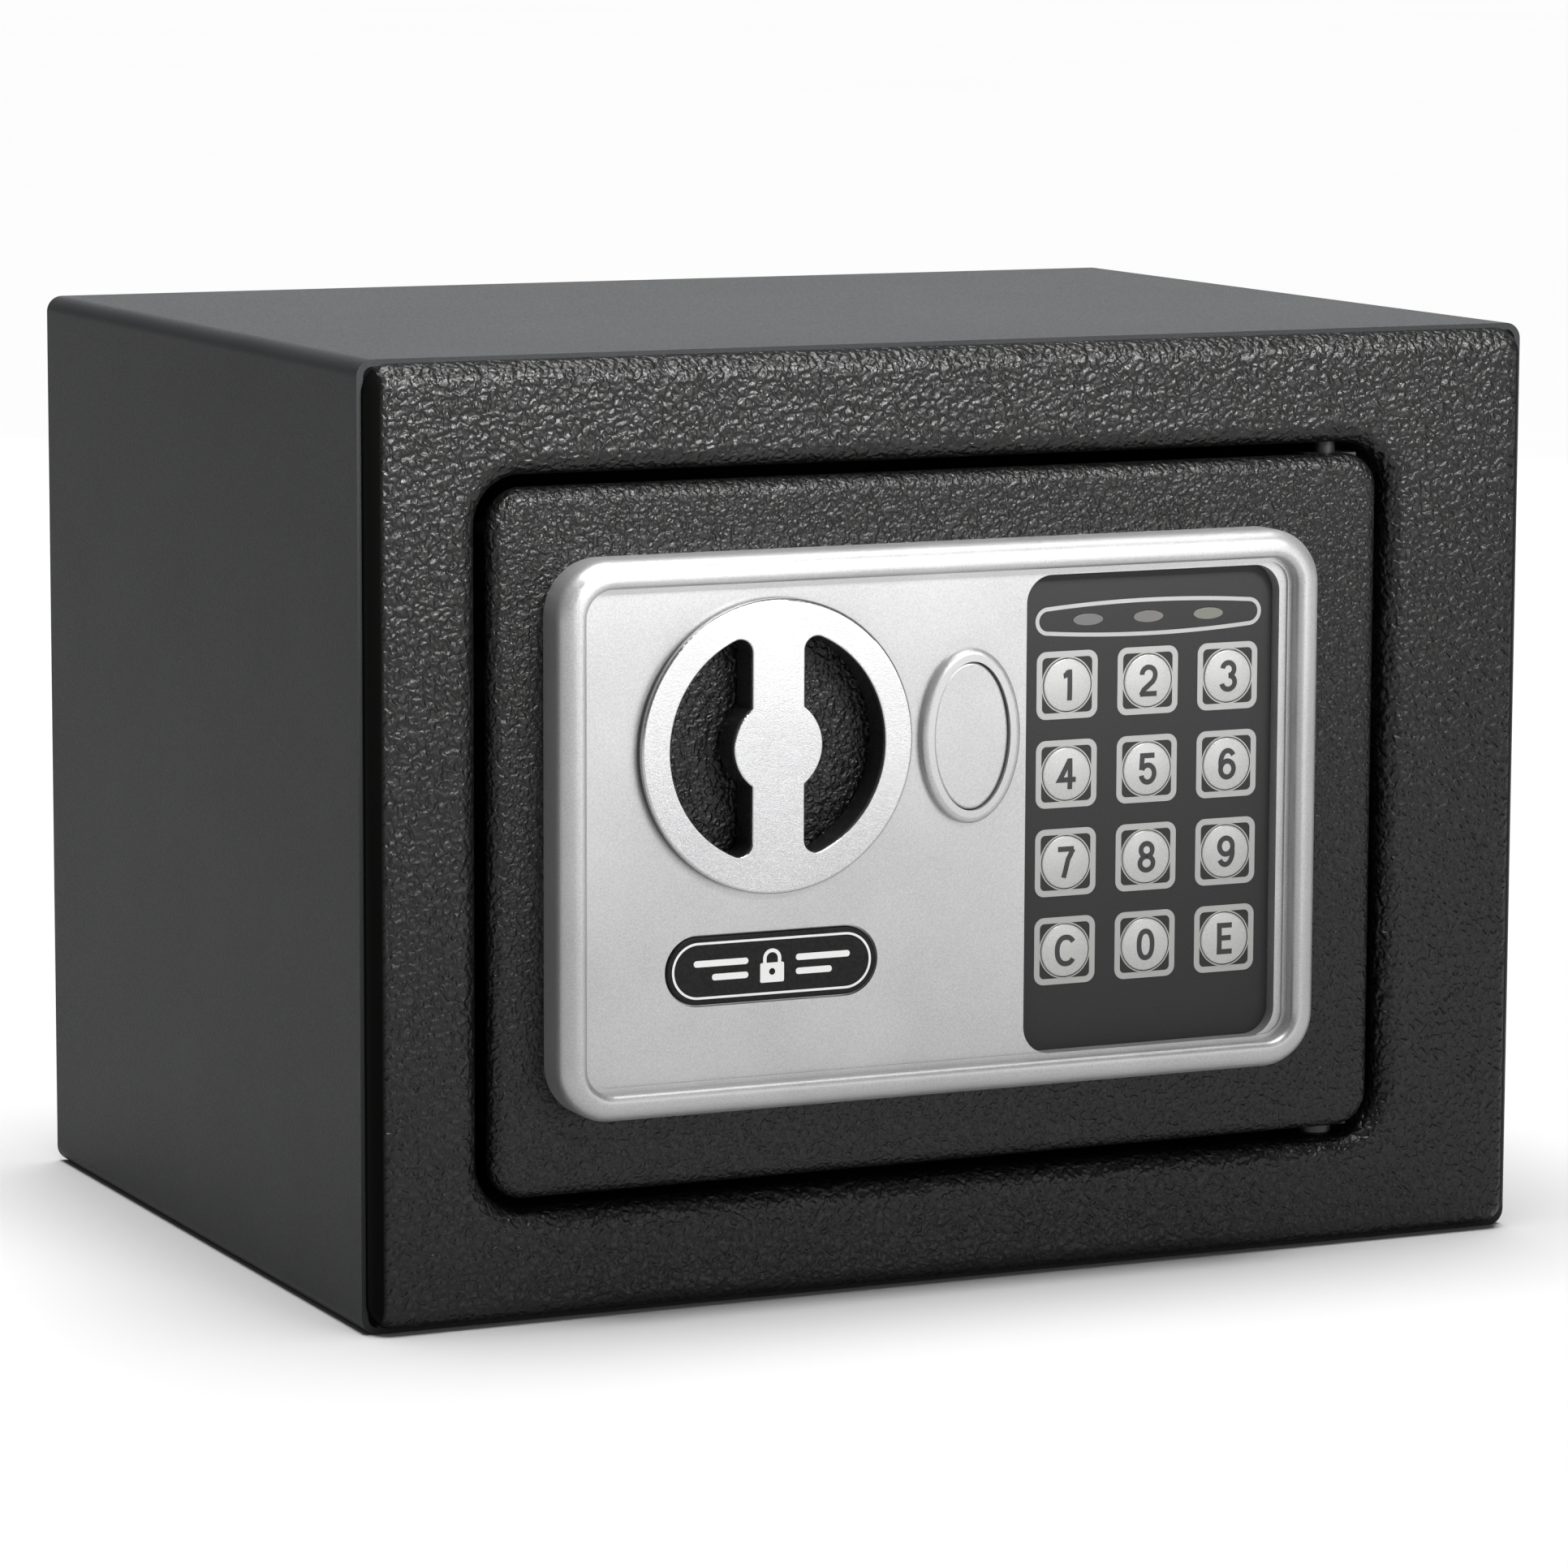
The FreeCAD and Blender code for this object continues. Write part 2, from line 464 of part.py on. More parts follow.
def make_status_lenses():
    lenses = []
    front = PAD_Y - LENS_PROUD
    for x in lens_places():
        lens = ellipse_block(x, LENS_Z, LENS_W - 0.1, LENS_H - 0.1, front, PAD_Y + MEMBRANE)
        lenses.append(lens.makeFillet(LENS_ROUND, edges_at(lens, front)))
    return group(lenses)


def make_status_leds():
    """Three flat lamps on the board, behind the lenses."""
    return group([box(x - LED_HALF_W, x + LED_HALF_W, BOARD_Y - LED_T, BOARD_Y,
                      LENS_Z - LED_HALF_H, LENS_Z + LED_HALF_H) for x in lens_places()])


def make_key(x, z):
    """Low cap whose wider foot is held behind the membrane."""
    front = PAD_Y - KEY_PROUD
    cap = rod(KEY_R, V(x, front, z), KEY_BACK_Y, BACK)
    cap = cap.makeFillet(KEY_ROUND, edges_at(cap, front))
    flange = rod(KEY_FLANGE_R, V(x, KEY_FOOT_Y, z), KEY_BACK_Y, BACK)
    return union([cap, flange])


KEY_FOOT_Y = PAD_Y + MEMBRANE + 0.05
KEY_BACK_Y = KEY_FOOT_Y + KEY_FOOT
PAD_RUBBER_Y = KEY_BACK_Y + KEY_TRAVEL + 0.1
BOARD_Y = PAD_RUBBER_Y + 0.9


def make_switch_domes():
    """One rubber switch dome behind each key."""
    domes = []
    for _, x, z in key_places():
        dome = Part.makeCone(4.0, 2.6, BOARD_Y - PAD_RUBBER_Y, V(x, BOARD_Y, z), V(0, -1, 0))
        domes.append(dome)
    return group(domes)


def make_keypad_board():
    back = BOARD_Y + BOARD_T
    board = rounded_block(*BOARD, 1.5, BOARD_Y, back)
    chip = box(CHIP_X0, CHIP_X1, back, back + CHIP_T, CHIP_Z0, CHIP_Z1)
    capacitors = [rod(CAPACITOR_R, V(x, back, CAPACITOR_Z), back + CAPACITOR_T, BACK)
                  for x in CAPACITOR_XS]
    return union([board, chip] + capacitors)


def make_buzzer():
    back = BOARD_Y + BOARD_T
    return rod(BUZZER_R, V(BUZZER_X, back, BUZZER_Z), back + BUZZER_T, BACK)


# ---------------------------------------------------------------- knob and boltwork
def knob_outline(y0, y1):
    """Ring, upright bar and round hub, with the windows' corners rounded."""
    disc = rod(KNOB_R, V(KNOB_X, y0, KNOB_Z), y1, BACK)
    window = rod(KNOB_WINDOW_R, V(KNOB_X, y0, KNOB_Z), y1, BACK)
    bar = box(KNOB_X - KNOB_BAR_W / 2, KNOB_X + KNOB_BAR_W / 2, y0, y1,
              KNOB_Z - KNOB_R, KNOB_Z + KNOB_R)
    hub = rod(KNOB_HUB_R, V(KNOB_X, y0, KNOB_Z), y1, BACK)
    windows = window.cut(bar)
    sharp = [e for e in windows.Edges if e.Curve.TypeId == "Part::GeomLine"
             and abs(e.tangentAt(e.FirstParameter).y) > 0.9
             and abs(e.BoundBox.XMin - KNOB_X) < KNOB_BAR_W / 2 + 0.01]
    windows = windows.makeFillet(KNOB_WINDOW_CORNER, sharp).cut(hub)
    return disc.cut(windows)


def make_knob_body():
    """A flange in front of the field, and a narrower skirt inside the face plate's hole."""
    front = KNOB_FRONT_Y + KNOB_FACE_T
    step = FIELD_Y - 0.3
    skirt = knob_outline(step, KNOB_BACK_Y)
    skirt = skirt.common(rod(KNOB_HOLE_R - 0.5, V(KNOB_X, step, KNOB_Z), KNOB_BACK_Y, BACK))
    body = union([knob_outline(front, step), skirt])
    socket = rod(SPINDLE_NECK_R, V(KNOB_X, front + SPINDLE_SOCKET, KNOB_Z),
                 KNOB_BACK_Y + 5, BACK)
    return body.cut(socket)


def make_knob_face():
    face = knob_outline(KNOB_FRONT_Y, KNOB_FRONT_Y + KNOB_FACE_T)
    for size, is_rim in ((KNOB_WINDOW_ROUND, False), (KNOB_ROUND, True)):
        edges = [e for e in edges_at(face, KNOB_FRONT_Y)
                 if (e.BoundBox.XLength > 2 * KNOB_WINDOW_R + 1) == is_rim]
        face = face.makeFillet(size, edges)
    return face


GROOVE_Y = PLATE_BACK_Y + BUSH_FLANGE + 0.3


def make_knob_spindle():
    neck_front = KNOB_FRONT_Y + KNOB_FACE_T + SPINDLE_SOCKET
    neck = rod(SPINDLE_NECK_R, V(KNOB_X, neck_front, KNOB_Z), KNOB_BACK_Y, BACK)
    shaft = rod(SPINDLE_R, V(KNOB_X, KNOB_BACK_Y, KNOB_Z), CARRIER_Y0 - 0.5, BACK)
    groove = rod(SPINDLE_R + 1, V(KNOB_X, GROOVE_Y, KNOB_Z), GROOVE_Y + GROOVE_W, BACK)
    groove = groove.cut(rod(GROOVE_R, V(KNOB_X, GROOVE_Y - 1, KNOB_Z), GROOVE_Y + 2, BACK))
    return union([neck, shaft]).cut(groove)


def make_spindle_clip():
    y = GROOVE_Y + (GROOVE_W - CLIP_T) / 2
    ring = rod(CLIP_R, V(KNOB_X, y, KNOB_Z), y + CLIP_T, BACK)
    ring = ring.cut(rod(GROOVE_R, V(KNOB_X, y - 1, KNOB_Z), y + 2, BACK))
    return ring.cut(box(KNOB_X - CLIP_MOUTH / 2, KNOB_X + CLIP_MOUTH / 2, y - 1, y + 2,
                        KNOB_Z - 10, KNOB_Z))


def make_knob_bush():
    """Flanged bearing pressed into the door plate from the back."""
    front = FRONT_Y - 0.3
    back = PLATE_BACK_Y + BUSH_FLANGE
    barrel = rod(BUSH_R, V(KNOB_X, front, KNOB_Z), back, BACK)
    flange = rod(BUSH_FLANGE_R, V(KNOB_X, PLATE_BACK_Y, KNOB_Z), back, BACK)
    bore = rod(SPINDLE_R + SPINDLE_CLEARANCE, V(KNOB_X, front - 1, KNOB_Z),
               PLATE_BACK_Y + 5, BACK)
    return union([barrel, flange]).cut(bore)


def crank_pin_place():
    """The pin at rest: 45 degrees to the right of straight up."""
    reach = CRANK_R * math.sin(math.radians(45))
    return KNOB_X + reach, KNOB_Z + reach


def make_crank():
    """Cam plate pressed on the spindle, with the pin that drives the bolt carrier."""
    y1 = CARRIER_Y0 - 0.5
    y0 = y1 - CRANK_T
    px, pz = crank_pin_place()
    hub = rod(CRANK_HUB_R, V(KNOB_X, y0, KNOB_Z), y1, BACK)
    eye = rod(CRANK_ARM_HALF, V(px, y0, pz), y1, BACK)
    arm = box(-CRANK_ARM_HALF, CRANK_ARM_HALF, y0, y1, 0.0, CRANK_R)
    arm.rotate(V(0, 0, 0), BACK, 45)
    arm.translate(V(KNOB_X, 0, KNOB_Z))
    plate = union([hub, arm, eye]).cut(rod(SPINDLE_R, V(KNOB_X, y0 - 1, KNOB_Z), y1 + 1, BACK))
    pin = rod(CRANK_PIN_R, V(px, y1, pz), CARRIER_Y0 + CARRIER_T + 1.0, BACK)
    return union([plate, pin])


PLUNGER_X, PLUNGER_R = -28.0, 2.5
CARRIER_EDGE_Z = 84.0
PLUNGER_TIP_Z = CARRIER_EDGE_Z - 5.2


def make_bolt_carrier():
    """Sliding plate: two ears hold the bolts, slots ride on the posts, a slot takes the crank."""
    y0, y1 = CARRIER_Y0, CARRIER_Y0 + CARRIER_T
    low, high = BOLT_ZS
    bottom, top = low - EAR_HALF, high + EAR_HALF
    leg = box(CARRIER_X0, CARRIER_LEG_X1, y0, y1, bottom, top)
    head = box(CARRIER_X0, CARRIER_HEAD_X1, y0, y1, CARRIER_EDGE_Z, top)
    head = head.cut(box(-27.0, 0.0, y0 - 1, y1 + 1, CARRIER_EDGE_Z + 12.0, top + 1))
    ears = [box(CARRIER_X0, CARRIER_X0 + EAR_T, y0, BOLT_Y + 8.0, z - EAR_HALF, z + EAR_HALF)
            for z in BOLT_ZS]
    carrier = union([leg, head] + ears)
    px, pz = crank_pin_place()
    slot = box(px - CRANK_SLOT_W / 2, px + CRANK_SLOT_W / 2, y0 - 1, y1 + 1,
               pz - 3.0, KNOB_Z + CRANK_R + 3.0)
    pocket_x = PLUNGER_X - PLUNGER_R - 0.5 + BOLT_TRAVEL
    pocket = box(pocket_x, 0, y0 - 1, y1 + 1, 0, CARRIER_EDGE_Z + 4.0)
    cuts = [slot, pocket]
    for x, z in GUIDE_POST_XZ:
        half = POST_R + POST_CLEARANCE
        cuts.append(box(x, x + BOLT_TRAVEL, y0 - 1, y1 + 1, z - half, z + half))
        cuts += [rod(half, V(cx, y0 - 1, z), y1 + 1, BACK) for cx in (x, x + BOLT_TRAVEL)]
    cuts += [rod(SPIGOT_R, V(CARRIER_X0 - 5, BOLT_Y, z), CARRIER_X0 + 9, RIGHT)
             for z in BOLT_ZS]
    return carrier.cut(group(cuts))


def make_bolt(z):
    """Round bolt with a chamfered nose and a riveted spigot through the carrier's ear."""
    nose = PAN_X0 - 1.0
    ear_back = CARRIER_X0 + EAR_T
    body = rod(BOLT_R, V(nose, BOLT_Y, z), CARRIER_X0, RIGHT)
    tip = [e for e in body.Edges if e.BoundBox.XMax < nose + 0.01]
    body = body.makeChamfer(1.0, tip)
    spigot = rod(SPIGOT_R, V(CARRIER_X0, BOLT_Y, z), ear_back, RIGHT)
    rivet = rod(RIVET_R, V(ear_back, BOLT_Y, z), ear_back + RIVET_T, RIGHT)
    return union([body, spigot, rivet])


def make_guide_posts():
    posts = []
    front, back = CARRIER_Y0 - 0.3, CARRIER_Y0 + CARRIER_T + 0.3
    for x, z in GUIDE_POST_XZ:
        foot = rod(POST_FOOT_R, V(x, PLATE_BACK_Y, z), front, BACK)
        post = rod(POST_R, V(x, front, z), back, BACK)
        head = rod(POST_FOOT_R, V(x, back, z), back + 1.5, BACK)
        posts.append(union([foot, post, head]))
    return group(posts)


# ---------------------------------------------------------------- solenoid
SOLENOID_Y = CARRIER_Y0 + CARRIER_T / 2
COIL_R, COIL_Z0, COIL_Z1 = 6.5, 44.0, 66.0
FRAME_T = 1.5


def make_solenoid_frame():
    """Steel yoke: a U open to the sides, screwed to the door plate by its back."""
    half = COIL_R + 1.0
    y0 = SOLENOID_Y - COIL_R - FRAME_T
    top = box(PLUNGER_X - half, PLUNGER_X + half, y0, SOLENOID_Y + COIL_R,
              COIL_Z1, COIL_Z1 + FRAME_T)
    bottom = box(PLUNGER_X - half, PLUNGER_X + half, y0, SOLENOID_Y + COIL_R,
                 COIL_Z0 - FRAME_T, COIL_Z0)
    web = box(PLUNGER_X - half, PLUNGER_X + half, y0, y0 + FRAME_T, COIL_Z0, COIL_Z1)
    foot = box(PLUNGER_X - 4, PLUNGER_X + 4, PLATE_BACK_Y, y0, COIL_Z0 + 4, COIL_Z1 - 4)
    frame = union([top, bottom, web, foot])
    return frame.cut(rod(PLUNGER_R + 0.08, V(PLUNGER_X, SOLENOID_Y, COIL_Z0 - 9), COIL_Z1 + 9, UP))


def make_solenoid_coil():
    coil = rod(COIL_R - 0.1, V(PLUNGER_X, SOLENOID_Y, COIL_Z0), COIL_Z1, UP)
    return coil.cut(rod(PLUNGER_R + 0.3, V(PLUNGER_X, SOLENOID_Y, COIL_Z0 - 5), COIL_Z1 + 5, UP))


def make_solenoid_plunger():
    """Locking pin: its cone rises behind the carrier's shoulder when the bolts are out."""
    base = COIL_Z0 + 4.0
    cone = 2.0
    rodlet = rod(PLUNGER_R, V(PLUNGER_X, SOLENOID_Y, base), PLUNGER_TIP_Z - cone, UP)
    tip = Part.makeCone(PLUNGER_R, 0.4, cone, V(PLUNGER_X, SOLENOID_Y, PLUNGER_TIP_Z - cone), UP)
    return union([rodlet, tip])


# ---------------------------------------------------------------- emergency lock
LOCK_FRONT_Y, LOCK_REAR_Y = FIELD_Y + 2.2, -74.0


def make_override_cover():
    front = FIELD_Y - PLUG_PROUD
    cover = ellipse_block(LOCK_X, LOCK_Z, PLUG_W, PLUG_H, front, FIELD_Y + PLUG_DEPTH)
    return cover.makeFillet(PLUG_ROUND, edges_at(cover, front))


def make_lock_body():
    body = rod(LOCK_BODY_R, V(LOCK_X, LOCK_FRONT_Y, LOCK_Z), LOCK_REAR_Y, BACK)
    return body.cut(rod(LOCK_PLUG_R + LOCK_CLEARANCE, V(LOCK_X, LOCK_FRONT_Y - 5, LOCK_Z),
                        LOCK_REAR_Y + 5, BACK))


def make_lock_nut():
    nut = rod(NUT_R, V(LOCK_X, PLATE_BACK_Y, LOCK_Z), PLATE_BACK_Y + NUT_T, BACK)
    flats = [box(x, x + 5, PLATE_BACK_Y - 1, PLATE_BACK_Y + 5, LOCK_Z - 12, LOCK_Z + 12)
             for x in (LOCK_X - NUT_FLAT - 5, LOCK_X + NUT_FLAT)]
    bore = rod(LOCK_BODY_R, V(LOCK_X, PLATE_BACK_Y - 1, LOCK_Z), PLATE_BACK_Y + 5, BACK)
    return nut.cut(group(flats + [bore]))


def make_lock_plug():
    plug = rod(LOCK_PLUG_R, V(LOCK_X, LOCK_FRONT_Y, LOCK_Z), LOCK_REAR_Y + 2.6, BACK)
    keyway = box(LOCK_X - 0.5, LOCK_X + 0.5, LOCK_FRONT_Y - 1, LOCK_FRONT_Y + 9,
                 LOCK_Z - 3.2, LOCK_Z + 3.2)
    return plug.cut(keyway)


def make_lock_cam():
    y0, y1 = LOCK_REAR_Y + 0.4, LOCK_REAR_Y + 2.4
    arm = rounded_block(LOCK_X - 20.0, LOCK_X + 6.0, LOCK_Z - 5.5, LOCK_Z + 5.5, 2.5, y0, y1)
    return arm.cut(rod(LOCK_PLUG_R, V(LOCK_X, y0 - 1, LOCK_Z), y1 + 1, BACK))


# ---------------------------------------------------------------- batteries and reset
BOX_FRONT_Y = PAN_BACK_Y + SHEET - 17.6
RESET_X, RESET_Z, RESET_R = -14.0, 48.0, 3.0


def box_width():
    return CELL_COUNT * CELL_PITCH + 2 * BOX_WALL


def box_height():
    return CELL_L + 6.0 + 2 * BOX_WALL


def cell_places():
    first = BOX_X1 - BOX_WALL - CELL_PITCH / 2
    return [first - i * CELL_PITCH for i in range(CELL_COUNT)]


def make_battery_box():
    x0, z1 = BOX_X1 - box_width(), BOX_Z0 + box_height()
    rear = PAN_BACK_Y + SHEET - LID_REST
    shell = box(x0, BOX_X1, BOX_FRONT_Y, rear, BOX_Z0, z1)
    inside = box(x0 + BOX_WALL, BOX_X1 - BOX_WALL, BOX_FRONT_Y + BOX_WALL, rear + 5,
                 BOX_Z0 + BOX_WALL, z1 - BOX_WALL)
    return shell.cut(inside)


def make_battery_cells():
    y = BOX_FRONT_Y + BOX_WALL + CELL_R + 0.1
    z0 = BOX_Z0 + BOX_WALL + 3.0
    cells = []
    for i, x in enumerate(cell_places()):
        can = rod(CELL_R, V(x, y, z0), z0 + CELL_L - 1.0, UP)
        button = rod(2.7, V(x, y, z0 + CELL_L - 1.0), z0 + CELL_L, UP)
        cell = union([can, button])
        if i % 2:
            cell.rotate(V(x, y, z0 + CELL_L / 2), RIGHT, 180)
        cells.append(cell)
    return group(cells)


def make_battery_contacts():
    """Sprung and flat contact plates at both ends of the cells."""
    y = BOX_FRONT_Y + BOX_WALL + CELL_R + 0.1
    z0, z1 = BOX_Z0 + BOX_WALL, BOX_Z0 + box_height() - BOX_WALL
    contacts = []
    for i, x in enumerate(cell_places()):
        for z, inward in ((z0, 1), (z1, -1)):
            sprung = (inward == 1) == (i % 2 == 0)
            radius, reach = (SPRING_R, SPRING_REACH) if sprung else (PIP_R, PIP_REACH)
            face = z + inward * CONTACT_T
            plate = box(x - CONTACT_HALF, x + CONTACT_HALF, y - CONTACT_HALF, y + CONTACT_HALF,
                        *sorted((z, face)))
            post = rod(radius, V(x, y, face), z + inward * reach, UP)
            contacts.append(union([plate, post]))
    return group(contacts)


def make_battery_cover():
    x0 = BOX_X1 - box_width()
    y0 = PAN_BACK_Y + SHEET - LID_REST
    y1 = y0 + LID_T
    lid = box(x0, BOX_X1, y0, y1, BOX_Z0, BOX_Z0 + box_height())
    lid = lid.makeFillet(0.5, edges_at(lid, y1))
    middle = (x0 + BOX_X1) / 2
    grips = [box(middle - GRIP_HALF, middle + GRIP_HALF, y1 - 0.5, y1 + 1, z, z + GRIP_W)
             for z in (BOX_Z0 + 46, BOX_Z0 + 48.5, BOX_Z0 + 51)]
    return lid.cut(group(grips))


def make_reset_button():
    cap = rod(RESET_R, V(RESET_X, PAN_BACK_Y - 1.0, RESET_Z), PAN_BACK_Y + SHEET + 2.4, BACK)
    cap = cap.makeFillet(0.8, edges_at(cap, PAN_BACK_Y + SHEET + 2.4))
    foot = rod(RESET_R + 1.2, V(RESET_X, PAN_BACK_Y - 1.0, RESET_Z), PAN_BACK_Y - 0.05, BACK)
    return union([cap, foot])


def make_reset_switch():
    """Push switch under the red button, on a small bracket from the door plate."""
    y1 = PAN_BACK_Y - 1.0 - 2.1
    body = box(RESET_X - 4, RESET_X + 4, y1 - 5, y1, RESET_Z - 4, RESET_Z + 4)
    post = box(RESET_X - 2, RESET_X + 2, PLATE_BACK_Y, y1 - 5, RESET_Z - 4, RESET_Z + 4)
    return union([body, post])


# ---------------------------------------------------------------- the assembly
NODES = {
    "cabinet_shell": make_cabinet_shell,
    "back_plate": make_back_plate,
    "front_frame": make_front_frame,
    "strike_plate": make_strike_plate,
    "hinge_brackets": make_hinge_brackets,
    "hinge_pins": make_hinge_pins,
    "hinge_washer": make_hinge_washer,
    "floor_mat": make_floor_mat,
    "door_plate": make_door_plate,
    "door_pan": make_door_pan,
    "hinge_lugs": make_hinge_lugs,
    "inner_cover": make_inner_cover,
    "cover_screws": make_cover_screws,
    "face_plate": make_face_plate,
    "face_plate_screws": make_face_plate_screws,
    "badge": make_badge,
    "keypad_membrane": make_keypad_membrane,
    "status_lenses": make_status_lenses,
    "status_leds": make_status_leds,
    "switch_domes": make_switch_domes,
    "keypad_board": make_keypad_board,
    "buzzer": make_buzzer,
    "knob_body": make_knob_body,
    "knob_face": make_knob_face,
    "knob_spindle": make_knob_spindle,
    "knob_bush": make_knob_bush,
    "spindle_clip": make_spindle_clip,
    "crank": make_crank,
    "bolt_carrier": make_bolt_carrier,
    "lower_bolt": lambda: make_bolt(BOLT_ZS[0]),
    "upper_bolt": lambda: make_bolt(BOLT_ZS[1]),
    "guide_posts": make_guide_posts,
    "solenoid_frame": make_solenoid_frame,
    "solenoid_coil": make_solenoid_coil,
    "solenoid_plunger": make_solenoid_plunger,
    "override_cover": make_override_cover,
    "lock_body": make_lock_body,
    "lock_nut": make_lock_nut,
    "lock_plug": make_lock_plug,
    "lock_cam": make_lock_cam,
    "battery_box": make_battery_box,
    "battery_cells": make_battery_cells,
    "battery_contacts": make_battery_contacts,
    "battery_cover": make_battery_cover,
    "reset_button": make_reset_button,
    "reset_switch": make_reset_switch,
}


def main():
    os.makedirs("parts", exist_ok=True)
    shapes = {name: make() for name, make in NODES.items()}
    for name, x, z in key_places():
        shapes["key_" + name] = make_key(x, z)
    for name, shape in shapes.items():
        if not shape.isValid():
            raise ValueError(name + " is not a valid solid")
        shape.exportStep("parts/" + name + ".step")
        print("%-20s %2d solid(s) %9.1f mm3" % (name, len(shape.Solids), shape.Volume))
    print(len(shapes), "nodes")


main()
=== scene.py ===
"""Finished surfaces of a compact keypad safe: coats, key caps, printing, springs and floor mat.

Everything is in metres in the safe's own frame: +X right, +Y to the back, +Z up, with the
origin in the middle of the base.
"""
import json
import math

import bpy
import numpy as np
from bpy.props import FloatProperty, FloatVectorProperty, IntProperty, PointerProperty
from mathutils import Matrix, Vector


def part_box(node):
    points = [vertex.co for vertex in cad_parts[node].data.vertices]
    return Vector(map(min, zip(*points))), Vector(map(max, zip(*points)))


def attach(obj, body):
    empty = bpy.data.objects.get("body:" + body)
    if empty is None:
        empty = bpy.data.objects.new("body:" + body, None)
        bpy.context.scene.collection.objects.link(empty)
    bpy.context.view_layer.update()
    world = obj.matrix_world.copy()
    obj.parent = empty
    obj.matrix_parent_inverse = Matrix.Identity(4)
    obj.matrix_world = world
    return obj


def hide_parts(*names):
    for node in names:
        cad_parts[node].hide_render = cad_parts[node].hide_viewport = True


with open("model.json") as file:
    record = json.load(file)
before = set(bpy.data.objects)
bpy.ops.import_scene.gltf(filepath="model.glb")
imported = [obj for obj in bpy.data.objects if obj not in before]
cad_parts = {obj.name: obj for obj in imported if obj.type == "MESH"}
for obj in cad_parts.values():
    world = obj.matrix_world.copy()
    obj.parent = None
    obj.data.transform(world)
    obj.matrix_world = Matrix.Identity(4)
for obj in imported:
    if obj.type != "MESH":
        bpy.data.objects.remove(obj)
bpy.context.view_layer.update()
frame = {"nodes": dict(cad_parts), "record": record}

bl_info = {
    "name": "Keypad Safe",
    "version": (1, 0, 0),
    "blender": (4, 5, 0),
    "location": "3D View > Sidebar > Safe",
    "description": "Builds the finished surfaces of a compact electronic keypad safe",
    "category": "Object",
}

MM = 0.001
# width of the frame's rolled side edges that are smooth and carry painted shade in grain_coat
SMOOTH_SHADED_EDGE = 2.6 * MM
DOOR_RELIEF = 0.8
PRINT_SINK = 0.02 * MM
MAT_HOLE_MARGIN = 1.0 * MM
OVERHEAD_ANGLE = math.radians(40)
LEGENDS = {
    "key_1": "1", "key_2": "2", "key_3": "3",
    "key_4": "4", "key_5": "5", "key_6": "6",
    "key_7": "7", "key_8": "8", "key_9": "9",
    "key_clear": "C", "key_0": "0", "key_enter": "E",
}


# ------------------------------------------------------------------ places from the frame
def box_of(node):
    """Low and high corner of a node at rest, as arrays."""
    low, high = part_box(node)
    return np.array(low), np.array(high)


def centre_of(node):
    low, high = box_of(node)
    return (low + high) / 2


# ------------------------------------------------------------------ surfaces on a grid
def grid_faces(rows, columns, wrap_rows=False, wrap_columns=True):
    """Quads between neighbours of a rows x columns grid; a wrapped side joins its start."""
    row = np.arange(rows if wrap_rows else rows - 1)
    column = np.arange(columns if wrap_columns else columns - 1)
    row, column = np.meshgrid(row, column, indexing="ij")
    row_after, column_after = (row + 1) % rows, (column + 1) % columns
    corners = [row * columns + column, row * columns + column_after,
               row_after * columns + column_after, row_after * columns + column]
    return np.stack(corners, axis=-1).reshape(-1, 4)


def signed_volume(points, faces):
    """Sum of the tetrahedra from the origin to each face's triangles."""
    total = 0.0
    for face in (faces if isinstance(faces, list) else [faces]):
        corner = points[face]
        for k in range(1, face.shape[1] - 1):
            total += np.einsum("ij,ij->i", corner[:, 0],
                               np.cross(corner[:, k], corner[:, k + 1])).sum()
    return total


def outward(points, faces):
    """The same closed surface with its faces pointing out."""
    if signed_volume(points, faces) < 0:
        faces = [face[:, ::-1] for face in faces]
    return points, faces


def turned(profile, centre, steps=72):
    """Solid of revolution about Y: (radius, depth) turned round; both ends lie on the axis."""
    angle = np.linspace(0, 2 * np.pi, steps, endpoint=False)
    radius, depth = profile[1:-1, 0:1], profile[1:-1, 1:2]
    rings = np.stack([radius * np.cos(angle), depth + 0 * angle, radius * np.sin(angle)], -1)
    poles = np.array([[0, profile[0, 1], 0], [0, profile[-1, 1], 0]])
    points = np.vstack([poles, rings.reshape(-1, 3)]) + centre
    around = np.arange(steps)
    after = (around + 1) % steps
    last = 2 + (len(radius) - 1) * steps
    front = np.stack([0 * around, 2 + after, 2 + around], -1)
    back = np.stack([0 * around + 1, last + around, last + after], -1)
    walls = grid_faces(len(radius), steps) + 2
    return outward(points, [front, back, walls])


def strip(loops, closed):
    """Solid strip between four lines with as many points, each given as (XZ line, Y)."""
    points = np.stack([np.stack([path[:, 0], 0 * path[:, 0] + y, path[:, 1]], -1)
                       for path, y in loops])
    count = points.shape[1]
    faces = [grid_faces(4, count, wrap_rows=True, wrap_columns=closed)]
    if not closed:
        start = np.array([[0, count, 2 * count, 3 * count]])
        faces += [start, start[:, ::-1] + count - 1]
    return outward(points.reshape(-1, 3), faces)


def band(outer, inner, front, back, closed=True):
    """Flat ring or arch between two outlines in XZ, from front to back in Y."""
    return strip([(outer, back), (outer, front), (inner, front), (inner, back)], closed)


